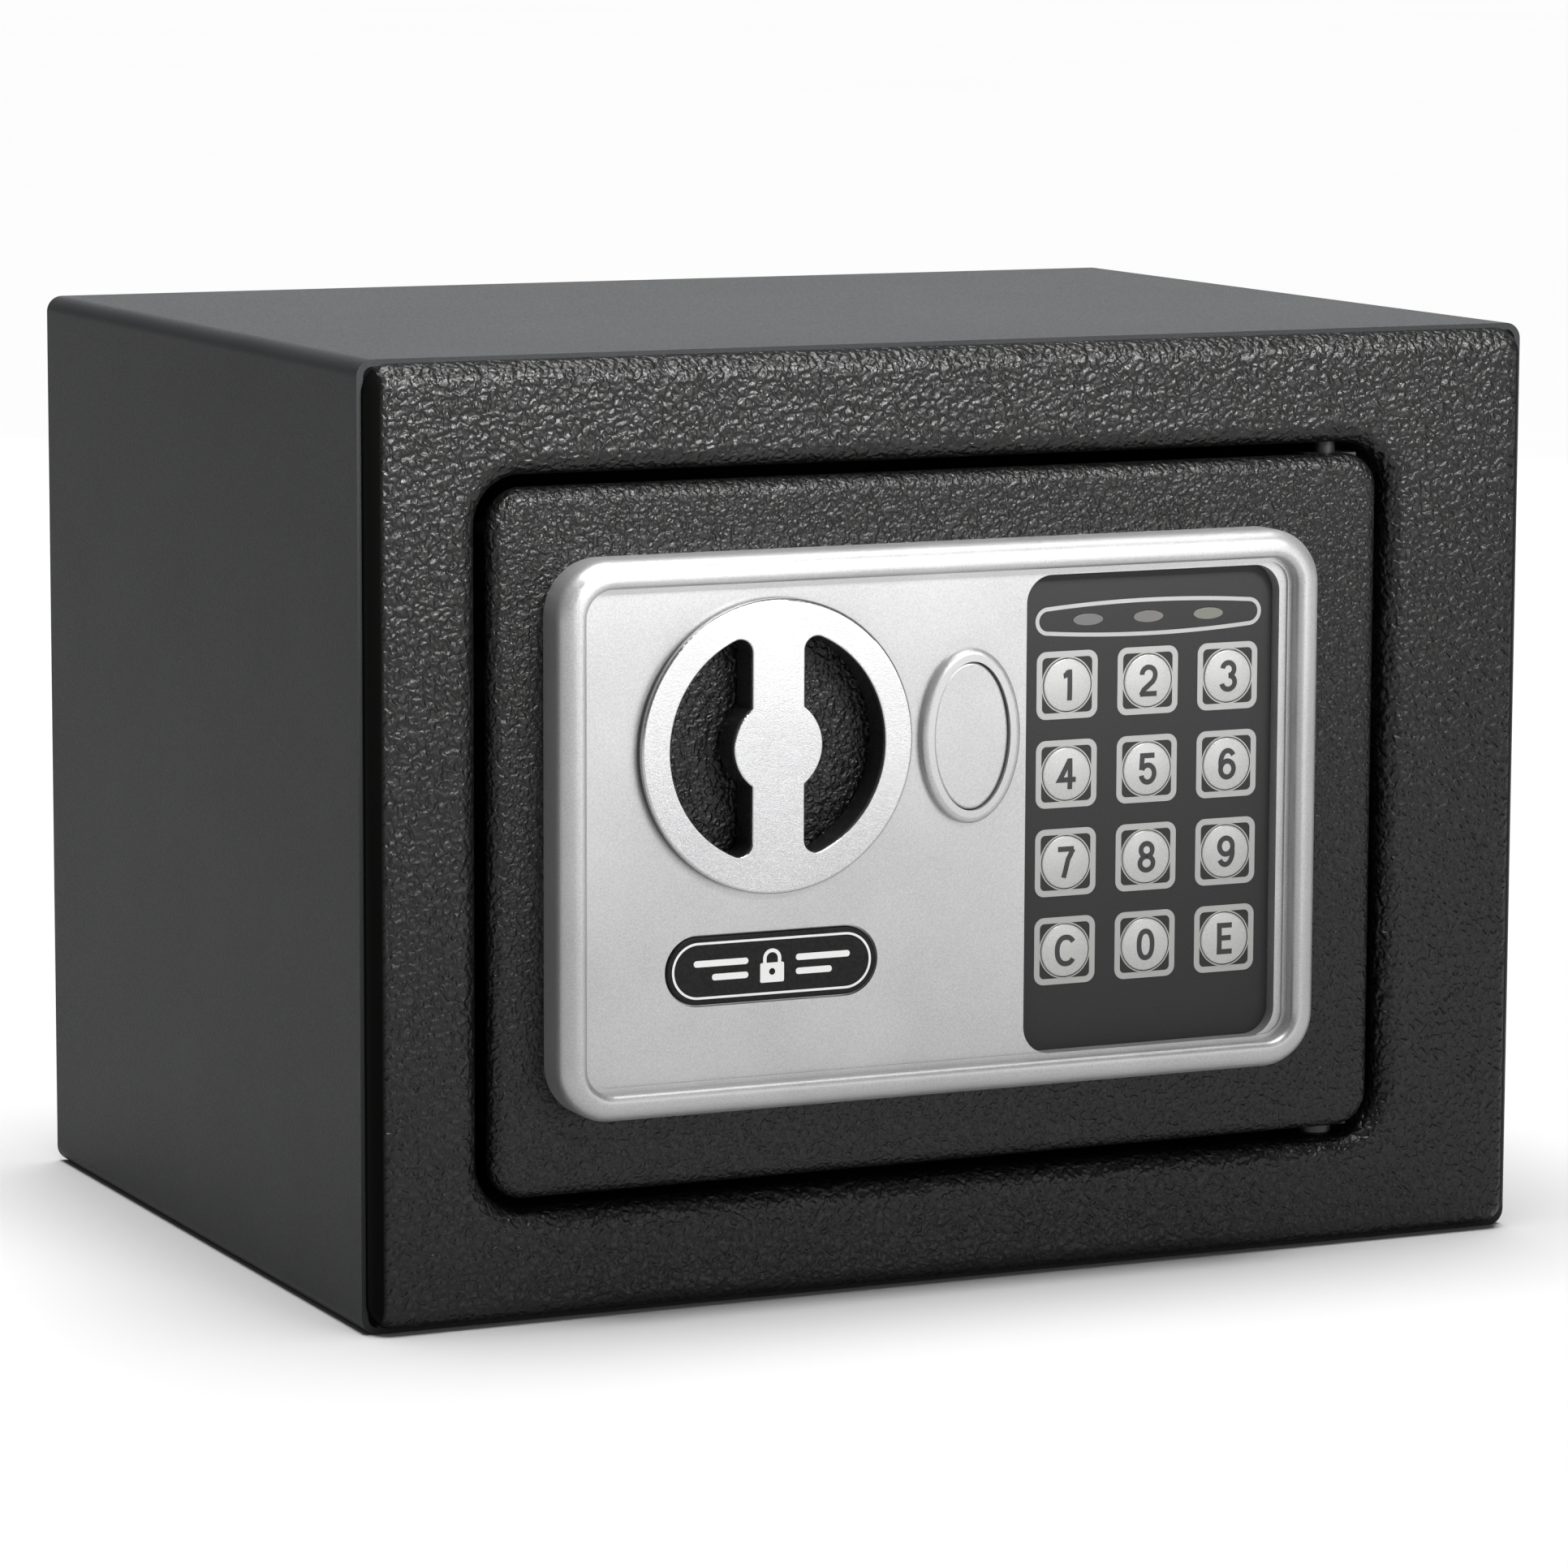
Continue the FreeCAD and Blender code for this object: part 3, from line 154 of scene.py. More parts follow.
def plate(outline, front, back):
    """Closed flat plate: an outline in XZ with a centre point on each side, front to back in Y."""
    count = len(outline)
    middle = outline.mean(axis=0)
    sides = [np.stack([outline[:, 0], 0 * outline[:, 0] + y, outline[:, 1]], -1)
             for y in (front, back)]
    hubs = np.array([[middle[0], front, middle[1]], [middle[0], back, middle[1]]])
    points = np.vstack([hubs, *sides])
    around = np.arange(count)
    after = (around + 1) % count
    near = np.stack([0 * around, 2 + around, 2 + after], -1)
    far = np.stack([0 * around + 1, 2 + count + after, 2 + count + around], -1)
    wall = np.stack([2 + around, 2 + count + around, 2 + count + after, 2 + after], -1)
    return outward(points, [near, far, wall])


def tube(path, wire, around=10):
    """Round wire along a path: a circle of radius wire in the plane across each step.

    The circle's axes are the path's outward direction from its own middle line and the
    product of that with the path's tangent. The ends are closed with a centre point.
    """
    tangent = np.gradient(path, axis=0)
    tangent /= np.linalg.norm(tangent, axis=1, keepdims=True)
    middle = path.mean(axis=0) * [1, 1, 0] + path * [0, 0, 1]
    side = path - middle
    side -= tangent * np.einsum("ij,ij->i", side, tangent)[:, None]
    side /= np.linalg.norm(side, axis=1, keepdims=True)
    other = np.cross(tangent, side)
    angle = np.linspace(0, 2 * np.pi, around, endpoint=False)[None, :, None]
    rings = (path[:, None] + wire * np.cos(angle) * side[:, None]
             + wire * np.sin(angle) * other[:, None])
    points = np.vstack([path[:1], path[-1:], rings.reshape(-1, 3)])
    step = np.arange(around)
    after = (step + 1) % around
    last = 2 + (len(path) - 1) * around
    start = np.stack([0 * step, 2 + after, 2 + step], -1)
    end = np.stack([0 * step + 1, last + step, last + after], -1)
    return outward(points, [start, end, grid_faces(len(path), around) + 2])


# ------------------------------------------------------------------ outlines in XZ
def rounded_rectangle(centre, width, height, corner, steps=8):
    """Four quarter circles of radius corner, joined by straight sides."""
    turn = np.linspace(0, np.pi / 2, steps)
    arcs = []
    for quarter, (sx, sz) in enumerate(((1, 1), (-1, 1), (-1, -1), (1, -1))):
        angle = turn + quarter * np.pi / 2
        middle = (sx * (width / 2 - corner), sz * (height / 2 - corner))
        arcs.append(np.stack([middle[0] + corner * np.cos(angle),
                              middle[1] + corner * np.sin(angle)], -1))
    return np.vstack(arcs) + centre


def circle(centre, radius, steps=64):
    """Points at equal steps round a circle."""
    angle = np.linspace(0, 2 * np.pi, steps, endpoint=False)
    return np.stack([np.cos(angle), np.sin(angle)], -1) * radius + centre


def bellied_stadium(centre, half_length, half_end, half_middle, steps=24):
    """Half-round ends of radius half_end, with sides that rise as a parabola to the middle."""
    straight = half_length - half_end
    turn = np.linspace(-np.pi / 2, np.pi / 2, steps, endpoint=False)
    right = np.stack([straight + half_end * np.cos(turn), half_end * np.sin(turn)], -1)
    along = np.linspace(straight, -straight, steps, endpoint=False)
    rise = half_end + (half_middle - half_end) * (1 - (along / straight) ** 2)
    top = np.stack([along, rise], -1)
    half = np.vstack([right, top])
    return np.vstack([half, -half]) + centre


# ------------------------------------------------------------------ making pieces
def add_piece(name, parts, body, finish, smooth_angle=None):
    """Joins closed (points, faces) parts into one object that rides on a body."""
    points, faces, start = [], [], 0
    for part_points, part_faces in parts:
        points.append(part_points)
        for face in part_faces:
            faces.extend((face + start).tolist())
        start += len(part_points)
    mesh = bpy.data.meshes.new(name)
    mesh.from_pydata(np.vstack(points).tolist(), [], faces)
    if smooth_angle is not None:
        mesh.shade_smooth()
        mesh.set_sharp_from_angle(angle=smooth_angle)
    mesh.validate()
    return place_mesh(name, mesh, body, finish)


def place_mesh(name, mesh, body, finish):
    """Links a finished mesh as an object at the origin, with its coat, slot and body."""
    mesh.materials.clear()
    mesh.materials.append(finish)
    piece = bpy.data.objects.new(name, mesh)
    bpy.context.collection.objects.link(piece)
    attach(piece, body)
    return piece


def coat(nodes, finish):
    """Gives CAD nodes their finish."""
    for node in nodes:
        piece = frame["nodes"][node]
        for slot in piece.material_slots:
            slot.material = finish


# ------------------------------------------------------------------ procedural finishes
class Finish:
    """A Principled material built node by node on Object coordinates."""

    def __init__(self, name, color, roughness, **sockets):
        self.material = bpy.data.materials.new(name)
        self.material.use_nodes = True
        self.tree = self.material.node_tree
        self.shader = self.tree.nodes["Principled BSDF"]
        self.shader.inputs["Base Color"].default_value = (*color, 1.0)
        self.shader.inputs["Roughness"].default_value = roughness
        for socket, value in sockets.items():
            self.shader.inputs[socket.replace("_", " ")].default_value = value
        self.place = self.add("ShaderNodeTexCoord").outputs["Object"]

    def add(self, kind, **settings):
        node = self.tree.nodes.new(kind)
        for key, value in settings.items():
            setattr(node, key, value)
        return node

    def link(self, source, socket):
        self.tree.links.new(source, socket)

    def stretched(self, scale):
        """Object coordinates scaled on each axis."""
        mapping = self.add("ShaderNodeMapping")
        mapping.inputs["Scale"].default_value = scale
        self.link(self.place, mapping.inputs["Vector"])
        return mapping.outputs["Vector"]

    def noise(self, size, detail=2.0, roughness=0.5, distortion=0.0, at=None):
        """Soft noise whose lumps are about size metres across."""
        node = self.add("ShaderNodeTexNoise")
        node.inputs["Scale"].default_value = 1.0 / size
        node.inputs["Detail"].default_value = detail
        node.inputs["Roughness"].default_value = roughness
        node.inputs["Distortion"].default_value = distortion
        self.link(at or self.place, node.inputs["Vector"])
        return node.outputs["Fac"]

    def cells(self, size, feature="SMOOTH_F1", metric="EUCLIDEAN", at=None):
        """Distance to cell centres, or to their borders, about size metres apart."""
        node = self.add("ShaderNodeTexVoronoi", feature=feature, distance=metric)
        node.inputs["Scale"].default_value = 1.0 / size
        self.link(at or self.place, node.inputs["Vector"])
        return node.outputs["Distance"]

    def waves(self, pitch, axis="Z", distortion=0.0, kind="BANDS"):
        """Sine bands of a pitch in metres; the texture turns 20 radians for each unit."""
        node = self.add("ShaderNodeTexWave", wave_type=kind)
        if kind == "BANDS":
            node.bands_direction = axis
        else:
            node.rings_direction = axis
        node.inputs["Scale"].default_value = 2 * math.pi / (20.0 * pitch)
        node.inputs["Distortion"].default_value = distortion
        self.link(self.place, node.inputs["Vector"])
        return node.outputs["Fac"]

    def axis(self, name):
        """One of the object coordinates, in metres."""
        split = self.add("ShaderNodeSeparateXYZ")
        self.link(self.place, split.inputs[0])
        return split.outputs[name]

    def blend(self, kind, first, second):
        """A Math node on two sockets, or on a socket and a number."""
        node = self.add("ShaderNodeMath", operation=kind)
        for socket, value in zip(node.inputs, (first, second)):
            if isinstance(value, (int, float)):
                socket.default_value = value
            else:
                self.link(value, socket)
        return node.outputs[0]

    def spread(self, source, low, high, to_low=0.0, to_high=1.0):
        """Maps low..high to to_low..to_high and holds it there outside."""
        node = self.add("ShaderNodeMapRange")
        for socket, value in zip(("From Min", "From Max", "To Min", "To Max"),
                                 (low, high, to_low, to_high)):
            node.inputs[socket].default_value = value
        self.link(source, node.inputs["Value"])
        return node.outputs["Result"]

    def colors(self, source, stops):
        """Base colour from a ramp of (position, colour) stops."""
        node = self.add("ShaderNodeValToRGB")
        elements = node.color_ramp.elements
        elements[0].position, elements[0].color = stops[0][0], (*stops[0][1], 1.0)
        elements[1].position, elements[1].color = stops[-1][0], (*stops[-1][1], 1.0)
        for position, color in stops[1:-1]:
            elements.new(position).color = (*color, 1.0)
        self.link(source, node.inputs["Fac"])
        self.link(node.outputs["Color"], self.shader.inputs["Base Color"])
        return self

    def gloss(self, source, low, high, smooth, rough):
        """Roughness that follows a pattern."""
        self.link(self.spread(source, low, high, smooth, rough), self.shader.inputs["Roughness"])
        return self

    def relief(self, source, depth, strength=1.0):
        """Adds a bump of that depth in metres on top of those before it."""
        node = self.add("ShaderNodeBump")
        node.inputs["Distance"].default_value = depth
        node.inputs["Strength"].default_value = strength
        self.link(source, node.inputs["Height"])
        normal = self.shader.inputs["Normal"]
        if normal.is_linked:
            self.link(normal.links[0].from_socket, node.inputs["Normal"])
        self.link(node.outputs["Normal"], normal)
        return self


def scaled(color, factor):
    return tuple(min(1.0, part * factor) for part in color)


def sand_coat(name, color, grain):
    """Satin powder coat with a fine sand texture and a faint cloud."""
    finish = Finish(name, color, 0.45, Specular_IOR_Level=0.05)
    grit = finish.noise(grain, detail=3.0, roughness=0.6)
    cloud = finish.noise(30 * MM, detail=2.0)
    mixed = finish.blend("ADD", finish.blend("MULTIPLY", grit, 0.7),
                         finish.blend("MULTIPLY", cloud, 0.3))
    finish.colors(mixed, [(0.35, scaled(color, 0.86)), (0.65, scaled(color, 1.16))])
    finish.gloss(grit, 0.35, 0.65, 0.38, 0.52)
    return finish.relief(grit, 0.06 * MM).material


def grain_coat(name, color, grain, depth, edge):
    """Black powder coat with wandering soft ridges. Beyond |x| = edge it is smooth and carries
    painted shade: the darkest base colour and almost no specular stand in for the dark reflection
    of the rolled edges.

    A piece that ends inside that edge is grained all over.
    """
    finish = Finish(name, color, 0.36, Specular_IOR_Level=0.34)
    ridges = finish.noise(grain * 1.15, detail=0.6, roughness=0.4, distortion=0.55)
    # 1 where grained; 0 on the rolled edges beyond |x| = edge, which are smooth and carry painted
    # shade
    grain_and_shade_mask = finish.spread(finish.blend("ABSOLUTE", finish.axis("X"), 0.0),
                            edge, edge + 0.7 * MM, 1.0, 0.0)
    height = finish.blend("MULTIPLY", finish.spread(ridges, 0.3, 0.7), grain_and_shade_mask)
    fine = finish.noise(grain * 0.3, detail=1.0)
    finish.colors(height, [(0.2, scaled(color, 0.6)), (0.8, scaled(color, 1.5))])
    finish.gloss(fine, 0.35, 0.65, 0.33, 0.42)
    # painted shade: the specular falls to 0.02 on the rolled edges, in place of their dark
    # reflection
    finish.link(finish.spread(grain_and_shade_mask, 0.0, 1.0, 0.02, 0.34),
                finish.shader.inputs["Specular IOR Level"])
    finish.relief(height, depth)
    return finish.relief(fine, depth * 0.08).material


def smooth_coat(name, color):
    """Satin black coat of the inner sheet metal."""
    finish = Finish(name, color, 0.42, Specular_IOR_Level=0.5)
    peel = finish.noise(1.4 * MM, detail=2.0)
    finish.colors(peel, [(0.3, scaled(color, 0.85)), (0.7, scaled(color, 1.15))])
    finish.gloss(peel, 0.3, 0.7, 0.36, 0.48)
    return finish.relief(peel, 0.05 * MM).material


def metallic_lacquer(name, color, roughness, sparkle, metallic):
    """Silver lacquer on moulded plastic: fine metal flakes in a soft cloud."""
    finish = Finish(name, color, roughness, Metallic=metallic, IOR=1.5)
    flakes = finish.noise(sparkle, detail=2.0, roughness=0.7)
    cloud = finish.noise(18 * MM, detail=2.0)
    mixed = finish.blend("ADD", finish.blend("MULTIPLY", flakes, 0.75),
                         finish.blend("MULTIPLY", cloud, 0.25))
    finish.colors(mixed, [(0.32, scaled(color, 0.84)), (0.68, scaled(color, 1.16))])
    finish.gloss(flakes, 0.3, 0.7, roughness - 0.05, roughness + 0.06)
    return finish.relief(flakes, 0.016 * MM).material


def moulded_plastic(name, color, roughness=0.42, texture=0.35 * MM):
    """Plastic from a spark-eroded mould."""
    finish = Finish(name, color, roughness)
    grit = finish.noise(texture, detail=2.0)
    finish.colors(grit, [(0.3, scaled(color, 0.85)), (0.7, scaled(color, 1.15))])
    finish.gloss(grit, 0.3, 0.7, roughness - 0.06, roughness + 0.08)
    return finish.relief(grit, 0.02 * MM).material


def plated_steel(name, color, roughness, spangle=1.6 * MM):
    """Zinc plate: a faint bloom over rolled sheet."""
    finish = Finish(name, color, roughness, Metallic=1.0)
    rolled = finish.noise(0.5 * MM, detail=3.0, at=finish.stretched((1.0, 1.0, 0.12)))
    bloom = finish.noise(spangle, detail=3.0, roughness=0.6)
    finish.colors(bloom, [(0.3, scaled(color, 0.85)), (0.7, scaled(color, 1.1))])
    finish.gloss(bloom, 0.3, 0.7, roughness - 0.07, roughness + 0.1)
    return finish.relief(rolled, 0.008 * MM).material


def turned_metal(name, color, roughness, pitch=0.12 * MM):
    """Machined metal with fine turning marks round its axis."""
    finish = Finish(name, color, roughness, Metallic=1.0)
    marks = finish.waves(pitch, axis="Y", distortion=2.0, kind="BANDS")
    stain = finish.noise(3 * MM, detail=3.0)
    finish.colors(stain, [(0.3, scaled(color, 0.9)), (0.7, scaled(color, 1.08))])
    finish.gloss(stain, 0.3, 0.7, roughness - 0.05, roughness + 0.08)
    return finish.relief(marks, 0.004 * MM).material


def printed_ink(name, color):
    """Screen-printed ink: even, with a slight tooth."""
    finish = Finish(name, color, 0.45)
    tooth = finish.noise(0.18 * MM, detail=2.0)
    finish.colors(tooth, [(0.3, scaled(color, 0.93)), (0.7, scaled(color, 1.05))])
    return finish.relief(tooth, 0.006 * MM).material


def membrane_film(name, color):
    """Charcoal film with a fine woven-looking tooth."""
    finish = Finish(name, color, 0.62, Specular_IOR_Level=0.06)
    tooth = finish.noise(0.3 * MM, detail=3.0, roughness=0.6)
    finish.colors(tooth, [(0.3, scaled(color, 0.88)), (0.7, scaled(color, 1.14))])
    finish.gloss(tooth, 0.3, 0.7, 0.56, 0.68)
    return finish.relief(tooth, 0.015 * MM).material


def badge_leather(name, color):
    """Fine black grain of the badge."""
    finish = Finish(name, color, 0.4, Specular_IOR_Level=0.16)
    grain = finish.cells(0.55 * MM)
    finish.colors(grain, [(0.1, scaled(color, 1.3)), (0.7, scaled(color, 0.7))])
    finish.gloss(grain, 0.1, 0.7, 0.34, 0.48)
    return finish.relief(grain, 0.05 * MM).material


def lamp_lens(name, low_x, high_x):
    """Three smoky lenses side by side, each with the faint tint of its unlit lamp."""
    finish = Finish(name, (0.2, 0.2, 0.19), 0.28, Coat_Weight=0.3)
    across = finish.spread(finish.axis("X"), low_x, high_x)
    cloud = finish.blend("ADD", across, finish.spread(finish.noise(1.2 * MM), 0, 1, -0.02, 0.02))
    finish.colors(cloud, [(0.2, (0.07, 0.07, 0.073)), (0.5, (0.085, 0.076, 0.076)),
                          (0.8, (0.1, 0.102, 0.078))])
    return finish.material


def felt_cloth(name, color):
    """Needle felt: matted fibres that lie every way."""
    finish = Finish(name, color, 0.95, Sheen_Weight=0.35, Sheen_Roughness=0.5)
    fibres = finish.noise(0.5 * MM, detail=6.0, roughness=0.75, distortion=2.5)
    patches = finish.noise(9 * MM, detail=3.0)
    mixed = finish.blend("ADD", finish.blend("MULTIPLY", fibres, 0.7),
                         finish.blend("MULTIPLY", patches, 0.3))
    finish.colors(mixed, [(0.35, scaled(color, 0.55)), (0.62, scaled(color, 1.6))])
    return finish.relief(fibres, 0.5 * MM).material


def rubber_coat(name, color):
    finish = Finish(name, color, 0.6)
    dust = finish.noise(0.8 * MM, detail=3.0)
    finish.colors(dust, [(0.3, scaled(color, 0.9)), (0.7, scaled(color, 1.1))])
    finish.gloss(dust, 0.3, 0.7, 0.52, 0.68)
    return finish.relief(dust, 0.02 * MM).material


def circuit_board(name, color):
    """Green solder mask over square-cornered copper tracks."""
    finish = Finish(name, color, 0.3, Coat_Weight=0.4)
    tracks = finish.cells(3.2 * MM, feature="DISTANCE_TO_EDGE", metric="CHEBYCHEV")
    line = finish.spread(tracks, 0.05, 0.11, 1.0, 0.0)
    finish.colors(line, [(0.0, color), (1.0, scaled(color, 1.9))])
    return finish.relief(line, 0.03 * MM).material


def copper_winding(name, color):
    """Lacquered wire wound in close turns."""
    finish = Finish(name, color, 0.3, Metallic=0.7, Coat_Weight=0.5)
    turns = finish.waves(0.45 * MM, axis="Z")
    finish.colors(turns, [(0.0, scaled(color, 0.45)), (0.6, color)])
    return finish.relief(turns, 0.15 * MM).material


def cell_wrap(name, low_z, high_z, wrap, label):
    """Plain printed sleeve of a cell: a dark body with a pale band, bare metal at the ends."""
    finish = Finish(name, wrap, 0.3, Coat_Weight=0.5)
    height = finish.spread(finish.axis("Z"), low_z, high_z)
    scuff = finish.spread(finish.noise(2 * MM, detail=4.0), 0.0, 1.0, -0.006, 0.006)
    steel = (0.62, 0.62, 0.6)
    finish.colors(finish.blend("ADD", height, scuff),
                  [(0.02, steel), (0.03, wrap), (0.62, wrap), (0.63, label),
                   (0.72, label), (0.73, wrap), (0.97, wrap), (0.98, steel)])
    return finish.relief(finish.noise(1.0 * MM), 0.01 * MM).material


def paper_floor(name, color):
    finish = Finish(name, color, 0.85, Specular_IOR_Level=0.1)
    cloud = finish.noise(0.6, detail=2.0)
    finish.colors(cloud, [(0.3, scaled(color, 0.99)), (0.7, color)])
    return finish.material


# ------------------------------------------------------------------ settings
def color_setting(name, default, description):
    return FloatVectorProperty(name=name, description=description, default=default,
                               subtype="COLOR", size=3, min=0.0, max=1.0)


def length_setting(name, default, description):
    return FloatProperty(name=name, description=description, default=default,
                         unit="LENGTH", subtype="DISTANCE", min=0.0, precision=5)


def power_setting(name, default, description):
    return FloatProperty(name=name, description=description, default=default,
                         unit="POWER", min=0.0)


class SafeCoats(bpy.types.PropertyGroup):
    shell: color_setting("Shell", (0.029, 0.03, 0.0315), "Sand-textured coat of the body")
    shell_grain: length_setting("Shell grain", 0.38 * MM, "Size of the sand texture")
    front: color_setting("Front", (0.0048, 0.0046, 0.0044), "Grained coat of frame and door")
    frame_grain: length_setting("Frame grain", 1.0 * MM, "Size of the frame's grain")
    door_grain: length_setting("Door grain", 0.75 * MM, "Size of the door's grain")
    grain_depth: length_setting("Grain depth", 0.29 * MM, "Height of the grain's ridges")
    inner: color_setting("Inner", (0.02, 0.02, 0.021), "Satin coat of the folded inner sheets")
    felt: color_setting("Felt", (0.05, 0.05, 0.054), "Floor mat")
    mat_thickness: length_setting("Mat thickness", 1.7 * MM, "Thickness of the felt")
    mat_steps: IntProperty(name="Mat steps", description="Grid cells across the felt mat",
                           default=110, min=10)


class SafeControls(bpy.types.PropertyGroup):
    panel: color_setting("Face plate", (0.43, 0.43, 0.43), "Silver lacquer of the face plate")
    knob: color_setting("Knob face", (0.46, 0.46, 0.465), "Bright face of the knob")
    keys: color_setting("Keys", (0.42, 0.42, 0.415), "Silver of the key caps")
    film: color_setting("Membrane", (0.042, 0.042, 0.0428), "Film behind the keys")
    ink: color_setting("Light ink", (0.38, 0.38, 0.372), "Frames and outlines")
    legend: color_setting("Legend ink", (0.016, 0.0165, 0.018), "Figures on the keys")
    cap_radius: length_setting("Key radius", 4.8 * MM, "Radius of a key cap")
    cap_crown: length_setting("Key crown", 0.22 * MM, "How far a cap's middle stands proud")
    cap_shoulder: length_setting("Key shoulder", 0.3 * MM, "Rounding of a cap's edge")
    figure_height: length_setting("Figure height", 5.6 * MM, "Height of the figures")
    figure_line: length_setting("Figure line", 0.96 * MM, "Stroke width of the figures")
    frame_width: length_setting("Frame width", 12.25 * MM, "Printed square round each key")
    frame_line: length_setting("Frame line", 1.1 * MM, "Line width of the printed square")
    print_rise: length_setting("Print rise", 0.05 * MM, "Thickness of the printed ink")


class SafeStudio(bpy.types.PropertyGroup):
    azimuth: FloatProperty(name="Azimuth", description="Camera's turn to the left of the front",
                           default=math.radians(24.79), unit="ROTATION", subtype="ANGLE")
    pitch: FloatProperty(name="Pitch", description="Camera's tilt down",
                         default=math.radians(8.3), unit="ROTATION", subtype="ANGLE")
    roll: FloatProperty(name="Roll", description="Camera's turn about its own axis",
                        default=math.radians(0.21), unit="ROTATION", subtype="ANGLE")
    place: FloatVectorProperty(name="Place", description="Where the camera stands",
                               default=(-0.5136, -1.1183, 0.2591), size=3,
                               unit="LENGTH", subtype="TRANSLATION")
    lens: FloatProperty(name="Lens", description="Focal length on a 36 mm sensor",
                        default=149.76, min=1.0, unit="CAMERA")
    floor: color_setting("Floor", (0.55, 0.55, 0.55), "Pale floor")
    ambient: FloatProperty(name="Ambient", description="Brightness of the surroundings",
                           default=0.12, min=0.0)
    overhead: FloatProperty(name="Overhead", description="Strength of the light straight down",
                            default=5.4, min=0.0)
    front_box: power_setting("Front box", 0.2, "Power of the box in front, to the right")
    back_box: power_setting("Back box", 3.0, "Power of the box behind, which the top mirrors")
    top_box: power_setting("Top box", 0.52, "Power of the box above the front")


# ------------------------------------------------------------------ key caps and figures
def cap_profile(controls, front, back):
    """Crown y = front + crown (r / R)^2, a quarter-ellipse shoulder, a wall and a wide foot."""
    radius, shoulder = controls.cap_radius, controls.cap_shoulder
    flat = radius - shoulder
    reach = np.linspace(0, flat, 14)
    crown = front + controls.cap_crown * (reach / flat) ** 2
    turn = np.linspace(0, np.pi / 2, 9)[1:]
    round_r = flat + shoulder * np.sin(turn)
    round_y = crown[-1] + shoulder * (1 - np.cos(turn))
    foot_r, foot_t = radius + 0.9 * MM, 0.8 * MM
    edge_r = [radius, foot_r, foot_r, 0.0]
    edge_y = [back - foot_t, back - foot_t, back, back]
    return np.stack([np.concatenate([reach, round_r, edge_r]),
                     np.concatenate([crown, round_y, edge_y])], -1)


def arc(centre, radii, start, end, power=2.0):
    """Part of a superellipse |x / rx|^power + |y / ry|^power = 1, from start to end degrees."""
    turn = np.radians(np.linspace(start, end, max(3, int(abs(end - start) / 7))))
    cos, sin = np.cos(turn), np.sin(turn)
    bend = 2.0 / power
    return np.stack([centre[0] + radii[0] * np.sign(cos) * abs(cos) ** bend,
                     centre[1] + radii[1] * np.sign(sin) * abs(sin) ** bend], -1)


def line(*corners, cell=0.08):
    """Straight runs between corners, cut into steps of at most cell."""
    runs = []
    for start, end in zip(corners, corners[1:]):
        start, end = np.array(start), np.array(end)
        steps = max(1, int(np.ceil(np.linalg.norm(end - start) / cell)))
        runs.append(start + (end - start) * np.linspace(0, 1, steps, endpoint=False)[:, None])
    return np.vstack(runs + [np.array(corners[-1:])])


def joined(*pieces):
    """Runs laid end to end, without the points that repeat."""
    path = np.vstack(pieces)
    step = np.linalg.norm(np.diff(path, axis=0), axis=1)
    return path[np.concatenate([[True], step > 1e-6])]


def figure_strokes(text):
    """Middle lines of a condensed grotesque figure one unit tall, as (points, closed)."""
    half, top = 0.238, 0.432
    if text == "1":
        return [(line((0.06, -0.5), (0.06, 0.5)), False),
                (arc((-0.17, 0.5), (0.18, 0.2), -88, -12), False)]
    if text == "2":
        return [(joined(arc((0, 0.2), (half, top - 0.2), 182, 0),
                        arc((-0.02, 0.2), (half + 0.02, 0.3), 0, -52),
                        line((0.14, -0.04), (-0.17, -0.29), (-0.262, -0.468))), False),
                (line((-0.3, -top), (0.3, -top)), False)]
    if text == "3":
        return [(arc((0, 0.222), (0.21, 0.21), 172, -88), False),
                (arc((0, -0.208), (half, 0.224), 88, -170), False)]
    if text == "4":
        return [(line((0.1, -0.5), (0.1, 0.5)), False),
                (line((0.085, 0.44), (-0.27, -0.19), (0.31, -0.19)), False)]
    if text == "5":
        return [(line((0.25, top), (-0.19, top), (-0.225, -0.03)), False),
                (arc((0.0, -0.155), (half, 0.277), 152, -168), False)]
    if text == "6":
        return [(arc((0, -0.17), (half, 0.262), 0, 360)[:-1], True),
                (arc((0.02, 0.03), (half + 0.02, top - 0.03), 38, 200), False)]
    if text == "7":
        return [(line((-0.3, top), (0.27, top)), False),
                (line((0.25, top), (0.06, 0.1), (-0.09, -0.5)), False)]
    if text == "8":
        return [(arc((0, 0.225), (0.205, 0.207), 0, 360)[:-1], True),
                (arc((0, -0.208), (half, 0.224), 0, 360)[:-1], True)]
    if text == "9":
        return [(-points, closed) for points, closed in figure_strokes("6")]
    if text == "0":
        return [(arc((0, 0), (half, top), 0, 360, power=2.3)[:-1], True)]
    if text == "C":
        return [(arc((0.02, 0), (half + 0.08, top), 38, 322, power=2.2), False)]
    return [(line((0.26, top), (-0.2, top), (-0.2, -top), (0.27, -top)), False),
            (line((-0.2, 0.02), (0.22, 0.02)), False)]


def stroke_edges(path, width, closed):
    """Both edges of a stroke: the path moved by half its width along the mitre at each point."""
    before = np.roll(path, 1, axis=0) if closed else np.vstack([path[:1], path[:-1]])
    after = np.roll(path, -1, axis=0) if closed else np.vstack([path[1:], path[-1:]])
    back, ahead = path - before, after - path
    back[0] = back[0] if closed else ahead[0]
    ahead[-1] = ahead[-1] if closed else back[-1]
    back /= np.linalg.norm(back, axis=1, keepdims=True)
    ahead /= np.linalg.norm(ahead, axis=1, keepdims=True)
    middle = back + ahead
    middle /= np.linalg.norm(middle, axis=1, keepdims=True)
    reach = width / 2 / np.maximum(np.einsum("ij,ij->i", middle, ahead), 0.5)
    side = np.stack([-middle[:, 1], middle[:, 0]], -1) * reach[:, None]
    return path + side, path - side


